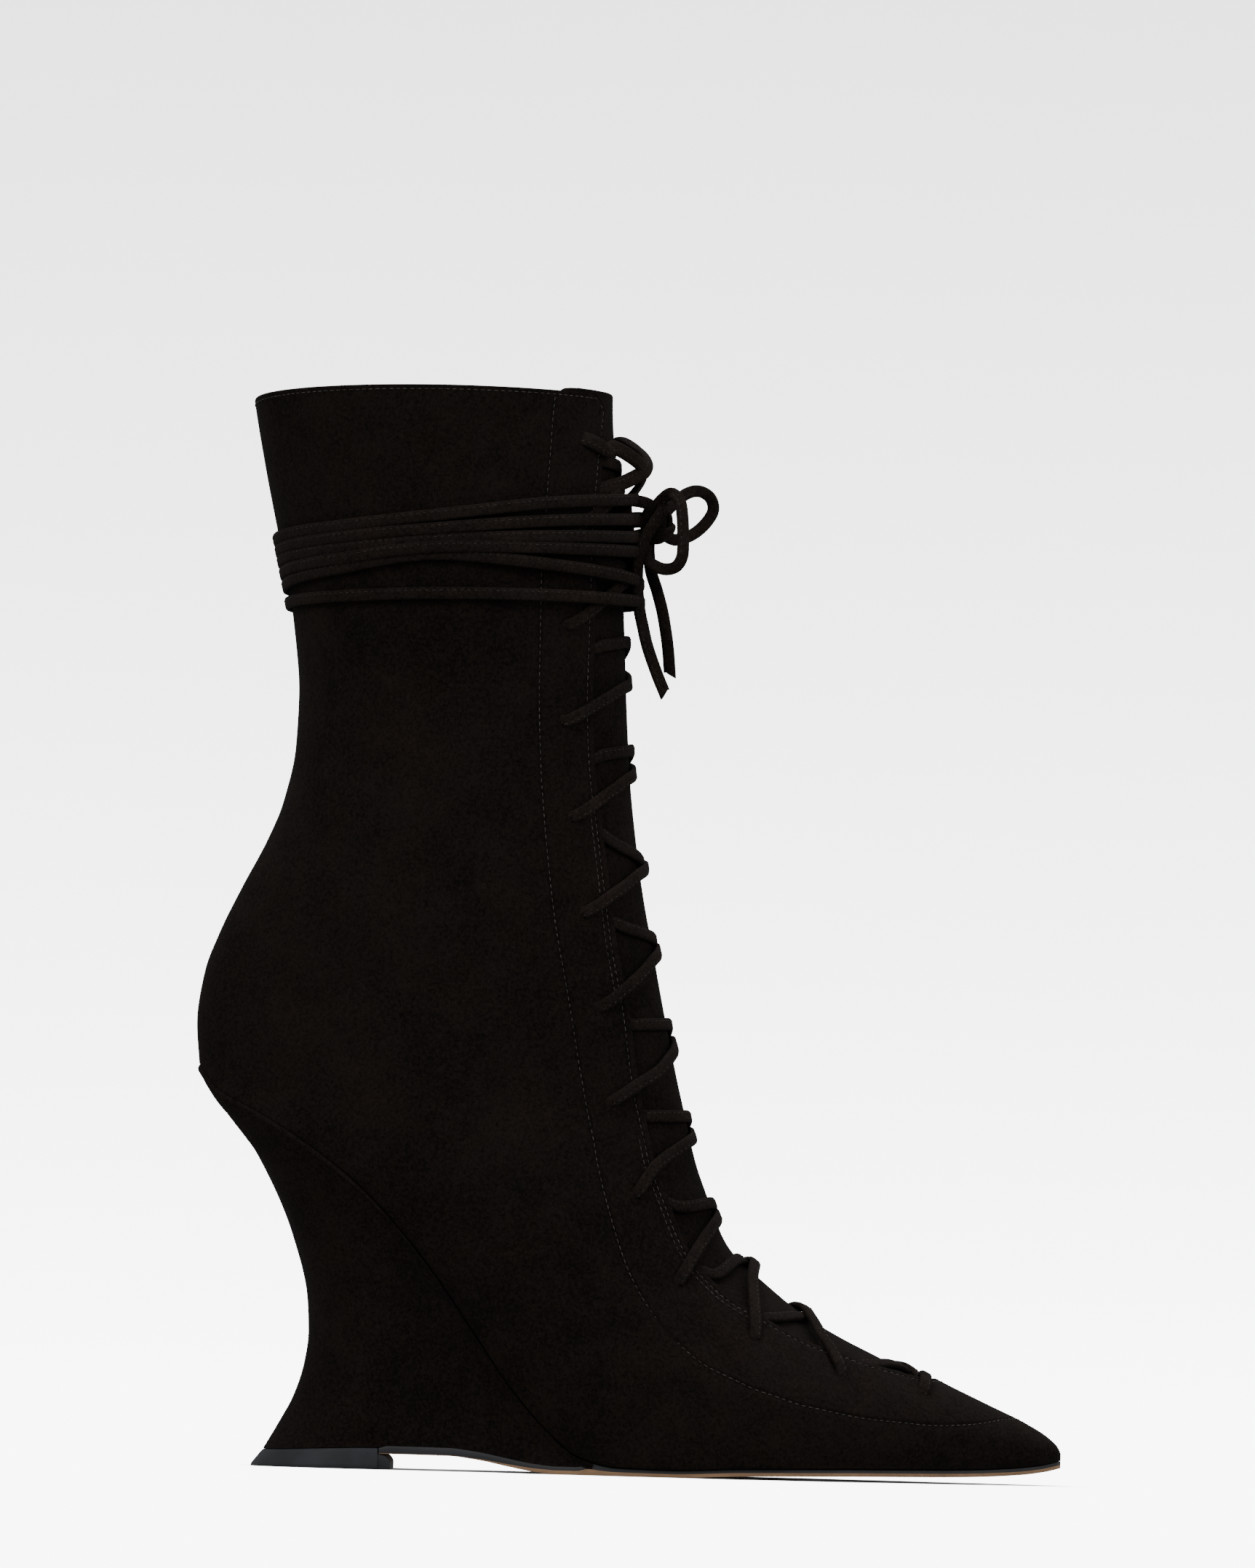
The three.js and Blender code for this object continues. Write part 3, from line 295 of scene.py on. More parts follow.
back_x = numbered(SHAFT[:, 0] * LENGTH)
back_z = numbered(HEEL_HEIGHT + SHAFT[:, 1] * SHAFT_HEIGHT)
seat_x = numbered(np.concatenate([SHAFT[-1:, 0], FOOT[:, 0]]))
front_x = numbered(np.concatenate([SHAFT[:, 2], FOOT[:, 1]]) * LENGTH)
front_z = numbered(np.concatenate([
    HEEL_HEIGHT + SHAFT[:, 3] * SHAFT_HEIGHT,
    FOOT[:, 2] * HEEL_HEIGHT + FOOT[:, 3] * FOOT_DEPTH,
]))
half_width = numbered(np.concatenate([
    SHAFT[:, 4] * SHAFT_WIDTH / 2, FOOT[:, 4] * BALL_WIDTH / 2,
]))
belly_at = numbered(np.concatenate([SHAFT[:, 5], FOOT[:, 5]]))
crown_at = numbered(np.concatenate([SHAFT[:, 6], FOOT[:, 6]]))
round_at = numbered(np.concatenate([SHAFT[:, 7], FOOT[:, 7]]))
COLLAR_STEP = float(back_z(COLLAR_ROW) - back_z(COLLAR_ROW + 1))


def section(row):
    """The numbers of a section: its back and front points, half width, widest
    place, powers, how far its back quarter reaches, and the angle it ends at."""
    row = np.asarray(row, float)
    on_foot = row > SEAT_ROW
    x = np.where(on_foot, seat_x(row - SEAT_ROW) * LENGTH, back_x(row))
    z = np.where(on_foot, feather(x), back_z(row))
    half = np.maximum(half_width(row), 0)
    foot = np.minimum(plan(x) / np.maximum(half, 1e-9), WIDEST_SEAT)
    foot = np.where(on_foot & (half > 0), foot, 0)
    power = round_at(row)
    reach = belly_at(row) / (1 - foot**power) ** (1 / power)
    end = np.where(on_foot, math.pi - np.arcsin(foot ** (power / 2)), math.pi)
    return x, z, front_x(row), front_z(row), half, belly_at(row), crown_at(row), power, reach, end


def skin(row, angle):
    """Points of the outer skin: a superellipse section between back and ridge.

    The angle is 0 on the ridge and negative on the outer side. Width goes with
    the sine and the way along with the cosine, both to 2 over the power.
    """
    row, angle = np.broadcast_arrays(np.asarray(row, float), np.asarray(angle, float))
    bx, bz, fx, fz, half, belly, crown, power, reach, end = section(row)
    turn = np.where(np.abs(angle) > math.pi, angle - np.sign(angle) * 2 * math.pi, angle)
    phi = np.minimum(np.abs(turn), end)
    front = phi <= math.pi / 2
    share = 2 / np.where(front, crown, power)
    wide = half * np.maximum(np.sin(phi), 0) ** share
    wide = np.where(phi >= math.pi - 1e-9, 0, wide)
    along = np.abs(np.cos(phi)) ** share
    t = np.where(front, belly + (1 - belly) * along, belly - reach * along)
    x = blend(bx, fx, t)
    return np.stack([x, lean(x) + np.sign(turn) * wide, blend(bz, fz, t)], axis=-1)


def unit(v):
    """Vectors brought to length 1."""
    return v / np.maximum(np.linalg.norm(v, axis=-1, keepdims=True), 1e-12)


def skin_normal(row, angle):
    """Outward normal: cross product of the steps down and round the skin."""
    row, angle = np.broadcast_arrays(np.asarray(row, float), np.asarray(angle, float))
    step = 0.04
    down = skin(np.minimum(row + step, TIP_ROW), angle) - skin(np.maximum(row - step, 0), angle)
    end = section(row)[-1]
    wraps = end >= math.pi
    far = np.where(wraps, angle + step, np.minimum(angle + step, end))
    near = np.where(wraps, angle - step, np.maximum(angle - step, -end))
    return unit(np.cross(down, skin(row, far) - skin(row, near)))


def lifted(row, angle, height):
    """Skin points moved out along the normal by height."""
    return skin(row, angle) + skin_normal(row, angle) * np.asarray(height)[..., None]


def angle_at(row, wide):
    """Angle at which a section is that wide on each side of the ridge.

    It is the arcsine of the share of the half width, to half the crown's power.
    """
    _, _, _, _, half, _, crown, _, _, _ = section(row)
    return np.arcsin(np.minimum(wide / np.maximum(half, 1e-9), 1) ** (crown / 2))


def opening(row):
    """Half of the gap between the facings, closed in a half ellipse at its end
    and widened by a quarter circle at the collar."""
    row = np.asarray(row, float)
    past = np.clip((row - THROAT_TURN) / (THROAT_END - THROAT_TURN), 0, 1)
    above = 1 - (row - COLLAR_ROW) * COLLAR_STEP / THROAT_CORNER
    corner = THROAT_CORNER * (1 - np.sqrt(np.clip(1 - above**2, 0, 1)))
    return THROAT_HALF * opening_at(row) * np.sqrt(1 - past**2) + np.where(above > 0, corner, 0)


def walk(row, start, end, side, samples=120):
    """One side of each section in small steps: angles and the way run to them."""
    t = np.linspace(0, 1, samples + 1)
    angles = blend(start[:, None], end[:, None], t[None, :])
    points = skin(row[:, None], side * angles)
    steps = np.linalg.norm(np.diff(points, axis=1), axis=-1)
    run = np.concatenate([np.zeros((len(row), 1)), np.cumsum(steps, axis=1)], axis=1)
    return angles, run


def angles_after(angles, run, ways):
    """Angle at each way along its row, straight between the small steps."""
    return np.stack([np.interp(w, r, a) for w, r, a in zip(ways, run, angles)])


def behind_facing(row, way):
    """Angle at a way along the outer skin from the edge of the facing."""
    row = np.atleast_1d(np.asarray(row, float))
    start = angle_at(row, opening(row))
    angles, run = walk(row, start, section(row)[-1], -1)
    ways = np.broadcast_to(np.asarray(way, float), row.shape)
    return angles_after(angles, run, ways[:, None])[:, 0]


def lining_skin(row, angle, depth):
    """A skin at a depth inside the outer one, rounded off inside the toe."""
    row, angle = np.broadcast_arrays(np.asarray(row, float), np.asarray(angle, float))
    puff_row, puff_length, puff_sink = 27.0, 6.0, 0.4
    past = np.clip((row - puff_row) / (TIP_ROW - puff_row), 0, 1)
    share = angle / section(row)[-1]
    held = np.full_like(row, puff_row)
    phi = share * section(held)[-1]
    start, twin = lifted(held, phi, -depth), lifted(held, -phi, -depth)
    start_x = blend(start[..., 0], twin[..., 0], past / 2)
    start_z = blend(start[..., 2], twin[..., 2], past / 2)
    x = start_x + puff_length * past
    side = (start[..., 1] - lean(start_x)) * np.sqrt(1 - past**2)
    z = feather(x) + (start_z - feather(start_x)) * (1 - puff_sink * past)
    toe = np.stack([x, lean(x) + side, z], axis=-1)
    inside = lifted(row, angle, np.full_like(row, -depth))
    return np.where((row > puff_row)[..., None], toe, inside)


# Soft troughs and ridges of the suede: section, way round from the
# ridge as a share of a side (negative on the outer side), slant in sections
# over the whole side, half height in sections, half length as that share, and
# how far the skin goes in (negative) or out, in mm.
CREASES = np.array([
    (6.3, -0.62, 0.9, 0.5, 0.2, -0.5),
    (7.2, -0.72, 1.1, 0.45, 0.18, 0.35),
    (8.1, -0.66, 1.4, 0.5, 0.24, -0.45),
    (5.2, -0.4, -0.8, 0.45, 0.18, -0.3),
    (7.0, 0.6, 0.9, 0.5, 0.2, -0.5),
    (8.0, 0.7, 1.2, 0.5, 0.2, 0.35),
    (16.5, -0.3, -1.6, 0.5, 0.16, -0.45),
    (18.2, -0.42, -1.8, 0.5, 0.18, 0.3),
    (19.6, -0.36, -1.8, 0.45, 0.18, -0.4),
    (17.4, 0.34, -1.6, 0.5, 0.16, -0.4),
    (19.2, 0.4, -1.8, 0.45, 0.18, -0.35),
    (11.5, -0.45, -0.6, 0.9, 0.28, 0.35),
])


def relief(row, share):
    """Height of the creases: a sum of bell-shaped troughs and ridges."""
    row, share = np.broadcast_arrays(np.asarray(row, float), np.asarray(share, float))
    total = np.zeros_like(row)
    for place, round_share, slant, tall, long, height in CREASES:
        across = (row - place - slant * (share - round_share)) / tall
        along = (share - round_share) / long
        total += height * np.exp(-(across**2) - along**2)
    return total * bell((row - COLLAR_ROW) / 1.5)


def six_volumes(points, faces):
    """Six times the volume inside: a dot (b cross c) summed over the faces' triangles."""
    a, total = points[faces[:, 0]], 0.0
    for k in range(1, faces.shape[1] - 1):
        b, c = points[faces[:, k]], points[faces[:, k + 1]]
        total += np.einsum("ij,ij->", a, np.cross(b, c))
    return total


class Mould:
    """Gathers grids of points, in the last's millimetres, and joins them."""

    def __init__(self):
        self.points, self.faces, self.values, self.count = [], [], {}, 0

    def add(self, grid, **values):
        """Adds a grid of points, with a value each, and gives back their numbers in its shape."""
        grid = np.asarray(grid, float)
        shape = grid.shape[:-1]
        size = int(np.prod(shape))
        self.points.append(grid.reshape(-1, 3))
        for name in sorted(set(values) | set(self.values)):
            held = self.values.setdefault(name, [np.zeros(self.count)])
            held.append(np.broadcast_to(values.get(name, 0.0), shape).reshape(-1))
        numbers = self.count + np.arange(size).reshape(shape)
        self.count += size
        return numbers

    def cover(self, numbers, turned=False):
        """Fills a grid of numbers with four-sided faces."""
        a, b = numbers[:-1, :-1], numbers[1:, :-1]
        c, d = numbers[1:, 1:], numbers[:-1, 1:]
        quads = np.stack([a, b, c, d], axis=-1).reshape(-1, 4)
        self.faces.append(quads[:, ::-1] if turned else quads)

    def rim(self, outer, inner, numbers, out, bulge, turned=False):
        """Closes an edge between two lines of points in a half round.

        The line at angle t, 0 to pi, is the mix of both by (1 - cos t) / 2,
        moved out by bulge times sin t.
        """
        t = np.linspace(0, math.pi, 6)[1:-1, None, None]
        bulge = np.asarray(bulge)[..., None]
        lines = blend(outer, inner, (1 - np.cos(t)) / 2) + out * bulge * np.sin(t)
        new = self.add(lines)
        self.cover(np.concatenate([numbers[0][None], new, numbers[1][None]]), turned)

    def mesh(self, name, sharp=60):
        """Merges points that fall together and makes the object, faces outwards.

        A four-sided face that keeps three corners becomes a triangle, and one
        that keeps fewer is left out. If the volume comes out negative, all the
        faces are turned round.
        """
        points, faces = np.concatenate(self.points), np.concatenate(self.faces)
        keys = np.round(points * 1e3).astype(np.int64)
        _, first, back = np.unique(keys, axis=0, return_index=True, return_inverse=True)
        points, faces = points[first], back.reshape(-1)[faces]
        same = faces == np.roll(faces, 1, axis=1)
        quads = faces[~same.any(axis=1)]
        quads = quads[(quads[:, 0] != quads[:, 2]) & (quads[:, 1] != quads[:, 3])]
        three = same.sum(axis=1) == 1
        triangles = faces[three][~same[three]].reshape(-1, 3)
        triangles = triangles[(triangles != np.roll(triangles, 1, axis=1)).all(axis=1)]
        if six_volumes(points, quads) + six_volumes(points, triangles) < 0:
            quads, triangles = quads[:, ::-1], triangles[:, ::-1]
        mesh = bpy.data.meshes.new(name)
        mesh.from_pydata((points * MM + HEEL_BACK).tolist(), [], quads.tolist() + triangles.tolist())
        for value, parts in self.values.items():
            layer = mesh.attributes.new(value, "FLOAT", "POINT")
            layer.data.foreach_set("value", np.concatenate(parts)[first].astype(np.float32))
        mesh.shade_smooth()
        if sharp:
            mesh.set_sharp_from_angle(angle=math.radians(sharp))
        piece = bpy.data.objects.new(name, mesh)
        bpy.context.scene.collection.objects.link(piece)
        return piece


def settle(piece, finish, nodes=()):
    """Gives a piece its finish, seats it on the boot and hides what it replaces."""
    piece.data.materials.append(finish)
    if nodes:
        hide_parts(*nodes)
    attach(piece, "root")
    return piece


# Shader maths as plain expressions


class Value:
    """A shader socket whose sums and products add Math nodes."""

    def __init__(self, finish, socket):
        self.finish, self.socket = finish, socket

    def _math(self, operation, *terms):
        return self.finish.node("ShaderNodeMath", {"operation": operation}, dict(enumerate(terms)))

    def __add__(self, other):
        return self._math("ADD", self, other)

    def __sub__(self, other):
        return self._math("SUBTRACT", self, other)

    def __rsub__(self, other):
        return self._math("SUBTRACT", other, self)

    def __mul__(self, other):
        return self._math("MULTIPLY", self, other)

    def __truediv__(self, other):
        return self._math("DIVIDE", self, other)

    def __rtruediv__(self, other):
        return self._math("DIVIDE", other, self)

    def __pow__(self, other):
        return self._math("POWER", self, other)

    def __abs__(self):
        return self._math("ABSOLUTE", self)

    __radd__ = __add__
    __rmul__ = __mul__

    def ramp(self, low, high):
        """Soft step from 0 at low to 1 at high."""
        settings = {"interpolation_type": "SMOOTHSTEP"}
        ends = {"Value": self, "From Min": low, "From Max": high}
        return self.finish.node("ShaderNodeMapRange", settings, ends)


class Finish:
    """A material being made, with its Principled shader."""

    def __init__(self, name, **fixed):
        self.material = bpy.data.materials.new(name)
        self.material.use_nodes = True
        self.tree = self.material.node_tree
        self.shader = self.tree.nodes["Principled BSDF"]
        self.set(**fixed)

    def node(self, kind, settings=None, inputs=None, output=0):
        """Adds a node: its settings first, then the values or links of its inputs."""
        node = self.tree.nodes.new(kind)
        for name, value in (settings or {}).items():
            setattr(node, name, value)
        for name, value in (inputs or {}).items():
            self.link(value, node.inputs[name])
        return Value(self, node.outputs[output])

    def link(self, value, socket):
        """Links a value to a socket, or sets a plain number or colour on it."""
        if isinstance(value, Value):
            self.tree.links.new(value.socket, socket)
        else:
            socket.default_value = value

    def set(self, **inputs):
        """Sets or links the shader's inputs; a name's underscores are spaces."""
        for name, value in inputs.items():
            self.link(value, self.shader.inputs[name.replace("_", " ")])
        return self

    def place(self, scale=(1, 1, 1)):
        """Object coordinates, stretched."""
        where = self.node("ShaderNodeTexCoord", output="Object")
        return self.node("ShaderNodeMapping", {}, {"Vector": where, "Scale": scale})

    def noise(self, where, scale, detail=3.0, roughness=0.6):
        """Soft noise from 0 to 1; scale is in cycles a metre."""
        inputs = {"Vector": where, "Scale": scale, "Detail": detail, "Roughness": roughness}
        return self.node("ShaderNodeTexNoise", {}, inputs, "Fac")

    def field(self, name):
        """A value that the mesh holds at its points."""
        return self.node("ShaderNodeAttribute", {"attribute_name": name}, {}, "Fac")

    def mix(self, factor, a, b):
        """Mix of two colours."""
        return self.node("ShaderNodeMix", {"data_type": "RGBA"}, {0: factor, 6: a, 7: b}, 2)

    def tint(self, colour, share):
        """A colour made darker or lighter by a share."""
        inputs = {0: 1.0, 6: colour, 7: (share, share, share, 1.0)}
        return self.node("ShaderNodeMix", {"data_type": "RGBA", "blend_type": "MULTIPLY"}, inputs, 2)

    def bump(self, height, distance, strength=1.0, over=None):
        """Normal of a height, in metres at full height; over is a bump below it."""
        inputs = {"Height": height, "Distance": distance, "Strength": strength}
        if over is not None:
            inputs["Normal"] = over
        return self.node("ShaderNodeBump", {}, inputs)


def rgba(colour, share=1.0):
    """A colour times a share, with full alpha."""
    return (*(part * share for part in colour), 1.0)


SUEDE_SHEEN = 0.015
PAPER_LIGHT = 8.5  # strength of the paper's own light
CONTACT_SHADOW_REACH = 0.012  # how near the boot the paper's glow is dimmed into a painted contact shadow, in metres


def suede(name, colour, nap_scale=2600.0, seams=False):
    """Suede: a short nap in two lengths, brushed patches, and dull edges of light.

    The colour goes with fibres, tufts and patches, mixed by their weights, and
    the browner patches with a noise of their own. Near a seam the height is
    pressed in, and the colour there is darkened by painted shade.
    """
    finish = Finish(name, Specular_IOR_Level=0.06, Sheen_Weight=SUEDE_SHEEN, Sheen_Roughness=0.5)
    finish.set(Sheen_Tint=rgba((0.8, 0.7, 0.66)))
    where = finish.place()
    fibre = finish.noise(finish.place((1.0, 1.0, 0.6)), nap_scale, 4.0, 0.7)
    tuft = finish.noise(where, nap_scale * 0.4, 3.0, 0.65)
    brushed = finish.noise(where, 110.0, 4.0, 0.6)
    patch = finish.noise(where, 22.0, 2.0, 0.5)
    brown = finish.noise(where, 60.0, 5.0, 0.75)
    red, green, blue = colour
    base = finish.mix(brown.ramp(0.3, 0.7), rgba(colour), rgba((red * 1.3, green * 1.15, blue * 1.02)))
    nap = fibre * 0.35 + tuft * 0.35 + brushed * 0.15 + patch * 0.15
    dark = finish.tint(base, 0.35)
    shade = finish.mix(nap.ramp(0.36, 0.64), dark, finish.tint(base, 1.8))
    height = fibre * 0.55 + tuft * 0.45
    if seams:
        groove = 1 - abs(finish.field("far_seam")).ramp(0.0, 1.1)
        near = 1 - abs(finish.field("near_seam")).ramp(0.0, 0.9)
        fold = 1 - finish.field("collar").ramp(0.2, 2.4)
        # Painted shade: the colour goes towards the dark tone in the grooves of both seams.
        shade = finish.mix((groove + near) * 0.35, shade, dark)
        height = height - groove * 1.6 - near * 1.4 + fold * 0.8 + brushed * 0.6
    finish.set(Base_Color=shade, Roughness=nap * 0.14 + 0.86, Normal=finish.bump(height, 0.0002, 0.9))
    return finish.material


def leather(name, colour, rough, grain=900.0, spec=0.4):
    """Smooth leather: fine grain cells, faint rubbing and a soft gloss."""
    finish = Finish(name, Specular_IOR_Level=spec)
    where = finish.place()
    cell = finish.node(
        "ShaderNodeTexVoronoi", {"feature": "DISTANCE_TO_EDGE"}, {"Vector": where, "Scale": grain}
    )
    worn = finish.noise(where, 60.0, 4.0, 0.6)
    shade = finish.mix(worn.ramp(0.3, 0.7), rgba(colour, 0.8), rgba(colour, 1.2))
    finish.set(
        Base_Color=shade,
        Roughness=worn * 0.2 + (rough - 0.1),
        Normal=finish.bump(cell.ramp(0.0, 0.25), 0.00005, 0.6),
    )
    return finish.material


def sole_finish(name, tan, edge):
    """Sole: tan leather below, scuffed lengthwise, and a painted edge above."""
    finish = Finish(name, Specular_IOR_Level=0.35)
    where = finish.place()
    scuff = finish.noise(finish.place((0.12, 1.0, 1.0)), 700.0, 4.0, 0.65)
    cloud = finish.noise(where, 45.0, 3.0, 0.5)
    rubbed = (scuff * 0.5 + cloud * 0.5).ramp(0.3, 0.7)
    leather_shade = finish.mix(rubbed, rgba(tan, 0.72), rgba(tan, 1.15))
    paint = finish.mix(cloud.ramp(0.3, 0.7), rgba(edge, 0.8), rgba(edge, 1.2))
    painted = finish.field("edge").ramp(-0.03, 0.03)
    finish.set(
        Base_Color=finish.mix(painted, leather_shade, paint),
        Roughness=0.62 - scuff * 0.15,
        Normal=finish.bump(scuff, 0.00008, 0.5),
    )
    return finish.material


def rubber_finish(name, colour):
    """Rubber: a fine pebble, paler where it is rubbed."""
    finish = Finish(name, Specular_IOR_Level=0.4)
    where = finish.place()
    pebble = finish.noise(where, 2400.0, 3.0, 0.6)
    rubbed = finish.noise(where, 120.0, 4.0, 0.6)
    shade = finish.mix(rubbed.ramp(0.3, 0.75), rgba(colour, 0.75), rgba(colour, 1.35))
    finish.set(
        Base_Color=shade,
        Roughness=rubbed * 0.25 + 0.5,
        Normal=finish.bump(pebble, 0.00006, 0.6),
    )
    return finish.material


def thread_finish(name, colour):
    """Thread: fine strands, worn darker in places by a coarser noise."""
    finish = Finish(name, Specular_IOR_Level=0.2, Roughness=0.6)
    where = finish.place()
    strand = finish.noise(where, 3800.0, 2.0, 0.5)
    worn = finish.noise(where, 180.0, 3.0, 0.6).ramp(0.3, 0.65) * 0.68 + 0.32
    shade = finish.mix(strand.ramp(0.3, 0.7) * worn, rgba(colour, 0.12), rgba(colour))
    finish.set(Base_Color=shade, Normal=finish.bump(strand, 0.0001, 0.7))
    return finish.material


def stage_finish(name, colour):
    """Studio paper that is lit from within, brightest on the floor.

    Its light falls off as 1 over (1 + 1.25 z), z being the height in metres, and
    near the boot it is dimmed by how much air over it is open: a painted contact shadow.
    """
    finish = Finish(name, Roughness=0.95, Specular_IOR_Level=0.0, Emission_Strength=PAPER_LIGHT)
    height = finish.node("ShaderNodeSeparateXYZ", {}, {"Vector": finish.place()}, "Z")
    tone = finish.noise(finish.place(), 3.0, 2.0, 0.5)
    fall = 1 / (height * 1.25 + 1.0) * (tone * 0.03 + 0.985)
    # Painted contact shadow: the glow is dimmed where the boot closes off the air over the paper.
    painted_shadow_factor = finish.node("ShaderNodeAmbientOcclusion", {"samples": 16}, {"Distance": CONTACT_SHADOW_REACH}, "AO")
    glow = finish.mix(painted_shadow_factor ** 1.6 * fall, rgba((0, 0, 0)), rgba(colour))
    finish.set(Base_Color=rgba((0.02, 0.02, 0.02)), Emission_Color=glow)
    return finish.material


class BootSizes(bpy.types.PropertyGroup):
    """Sizes of the pieces that are only dressed here"""

    lace_width: bpy.props.FloatProperty(
        name="Lace width", description="Width of the flat lace, nap included", default=0.0032,
        unit="LENGTH",
    )
    lace_thick: bpy.props.FloatProperty(
        name="Lace thickness", description="Thickness of the flat lace", default=0.0016, unit="LENGTH"
    )
    stitch_pitch: bpy.props.FloatProperty(
        name="Stitch pitch", description="From one stitch to the next", default=0.00185, unit="LENGTH"
    )
    stitch_length: bpy.props.FloatProperty(
        name="Stitch length", description="Part of the pitch that shows", default=0.00125, unit="LENGTH"
    )
    stitch_width: bpy.props.FloatProperty(
        name="Stitch width", description="Thickness of the thread", default=0.00026, unit="LENGTH"
    )
    suede_thick: bpy.props.FloatProperty(
        name="Suede thickness", description="Outer layer of the upper", default=0.0011, unit="LENGTH"
    )


class BootColours(bpy.types.PropertyGroup):
    """Colours of the finishes"""

    suede: bpy.props.FloatVectorProperty(
        name="Suede", description="Black suede of upper and wedge", subtype="COLOR",
        default=(0.0085, 0.0066, 0.0059),
    )
    lace: bpy.props.FloatVectorProperty(
        name="Lace", description="Suede of the lace", subtype="COLOR",
        default=(0.0125, 0.0098, 0.0088),
    )
    thread: bpy.props.FloatVectorProperty(
        name="Thread", description="Grey stitching thread", subtype="COLOR",
        default=(0.15, 0.134, 0.121),
    )
    lining: bpy.props.FloatVectorProperty(
        name="Lining", description="Black lining and insole leather", subtype="COLOR",
        default=(0.012, 0.011, 0.010),
    )
    rubber: bpy.props.FloatVectorProperty(
        name="Rubber", description="Charcoal top piece", subtype="COLOR",
        default=(0.020, 0.022, 0.026),
    )
    sole_edge: bpy.props.FloatVectorProperty(
        name="Sole edge", description="Painted edge of the sole", subtype="COLOR",
        default=(0.035, 0.035, 0.038),
    )
    sole_leather: bpy.props.FloatVectorProperty(
        name="Sole leather", description="Tan leather under the sole", subtype="COLOR",
        default=(0.42, 0.25, 0.14),
    )
    backdrop: bpy.props.FloatVectorProperty(
        name="Backdrop", description="Studio paper", subtype="COLOR", default=(1.0, 1.0, 1.0)
    )


LACE_THREAD_SHARE = 0.45  # how bright the lace's thread is beside the upper's
FINISHES = {
    "suede": lambda c: suede("black suede", c.suede, seams=True),
    "wedge": lambda c: suede("wedge suede", c.suede),
    "lace": lambda c: suede("lace suede", c.lace, 3200.0),
    "thread": lambda c: thread_finish("grey thread", c.thread),
    "lace_thread": lambda c: thread_finish("dark lace thread", rgba(c.thread, LACE_THREAD_SHARE)[:3]),
    "lining": lambda c: leather("black lining leather", c.lining, 0.5),
    "rubber": lambda c: rubber_finish("charcoal rubber", c.rubber),
    "sole": lambda c: sole_finish("tan sole leather", c.sole_leather, c.sole_edge),
    "paper": lambda c: stage_finish("studio paper", c.backdrop),
}
MADE = {}


def finish_of(name):
    """The finish of that name, made the first time it is asked for."""
    if name not in MADE:
        MADE[name] = FINISHES[name](bpy.context.scene.boot_colours)
    return MADE[name]


# The upper and what lines it


def crowded(places, start, end):
    """Places from start towards end whose steps grow as the square of their number."""
    return start + (end - start) * (np.arange(places) / places) ** 2


UPPER_ROWS = np.concatenate([
    COLLAR_ROW + np.array([0, 0.012, 0.03, 0.06, 0.1, 0.15, 0.22, 0.3, 0.4, 0.52]),
    np.arange(COLLAR_ROW + 0.65, SEAT_ROW - 0.01, 0.13),
    crowded(14, SEAT_ROW, SEAT_ROW + 1),
    np.arange(SEAT_ROW + 1, THROAT_TURN, 0.11),
    THROAT_END - (THROAT_END - THROAT_TURN) * np.linspace(1, 0, 22)[:-1] ** 2,
    np.arange(THROAT_END, 27, 0.12),
    np.linspace(27, TIP_ROW, 26),
])
UPPER_SHARES = np.concatenate([(np.arange(68) / 68) ** 1.35, [0.988, 0.994, 0.998, 1.0]])
SEAM_CURL = 0.35  # how far the suede turns in at the feather line

# The quarter's far seam: section and way round from the ridge, in mm.
FAR_SEAM = np.array([
    (0.9, 33.3), (1.6, 34.8), (2.6, 37.0), (3.5, 38.5), (5.4, 39.0), (7.3, 40.4),
    (9.1, 41.3), (11.2, 41.5), (13.0, 41.7), (14.6, 42.2), (16.0, 43.6), (17.2, 46.4),
    (18.4, 49.2), (19.6, 51.6), (20.6, 51.8), (21.6, 49.6), (22.8, 44.7), (23.7, 39.8),
    (24.5, 33.1), (25.3, 24.8), (26.1, 15.0), (26.6, 7.0), (26.8, 2.5), (26.85, 0.0),
])
far_seam_at = through(FAR_SEAM[:, 0], FAR_SEAM[:, 1])
NEAR_SEAM = 1.9  # from the facing's edge to its row of stitches
SECOND_SEAM = 1.5  # and on to the second row, where there is one
COLLAR_SEAM = 1.4  # from the collar to its row
DOUBLED = [(0.34, 0.5), (0.62, 0.8)]  # shares of the facing's edge with a second row
NO_SEAM = 9.0  # what is given, in mm, where no seam is near


def off_far_seam(rows, ways):
    """How far points are from the quarter's far seam, across the seam.

    The way past the seam is divided by the hypotenuse of 1 and the seam's slope.
    """
    seam = far_seam_at(rows)
    steps = np.linalg.norm(np.diff(skin(rows, -1.0), axis=0), axis=1)
    slope = np.gradient(seam, np.concatenate([[0], np.cumsum(steps)]))
    past = (ways - seam[:, None]) / np.hypot(1, slope)[:, None]
    return np.where(rows[:, None] > FAR_SEAM[-1, 0], NO_SEAM, past)


def arch_above(row, angle):
    """How many sections higher the collar is cut, from its back to its front."""
    fade = 1 - bell((row - COLLAR_ROW) / 1.2)
    return COLLAR_ARCH / COLLAR_STEP * (1 - (np.abs(angle) / math.pi) ** 2.5) * fade


def side_grid(rows, shares, side):
    """One side of the upper: sections and angles, and ways in mm along each.

    The ways run from the facing's edge, or from the ridge past the throat, to
    the back seam or the feather line, crowded towards the facing.
    """
    start = np.where(rows < THROAT_END, angle_at(rows, opening(rows)), 0.0)
    end = section(rows)[-1]
    angles, run = walk(rows, start, end, side)
    whole = run[:, -1:]
    ways = whole * shares[None, :]
    chosen = angles_after(angles, run, ways)
    chosen[:, 0], chosen[:, -1] = start, end
    at = rows[:, None] - arch_above(rows[:, None], chosen)
    ridge_run = walk(rows, np.zeros_like(rows), start, side, 40)[1]
    return at, chosen, ways, ways + ridge_run[:, -1:], whole


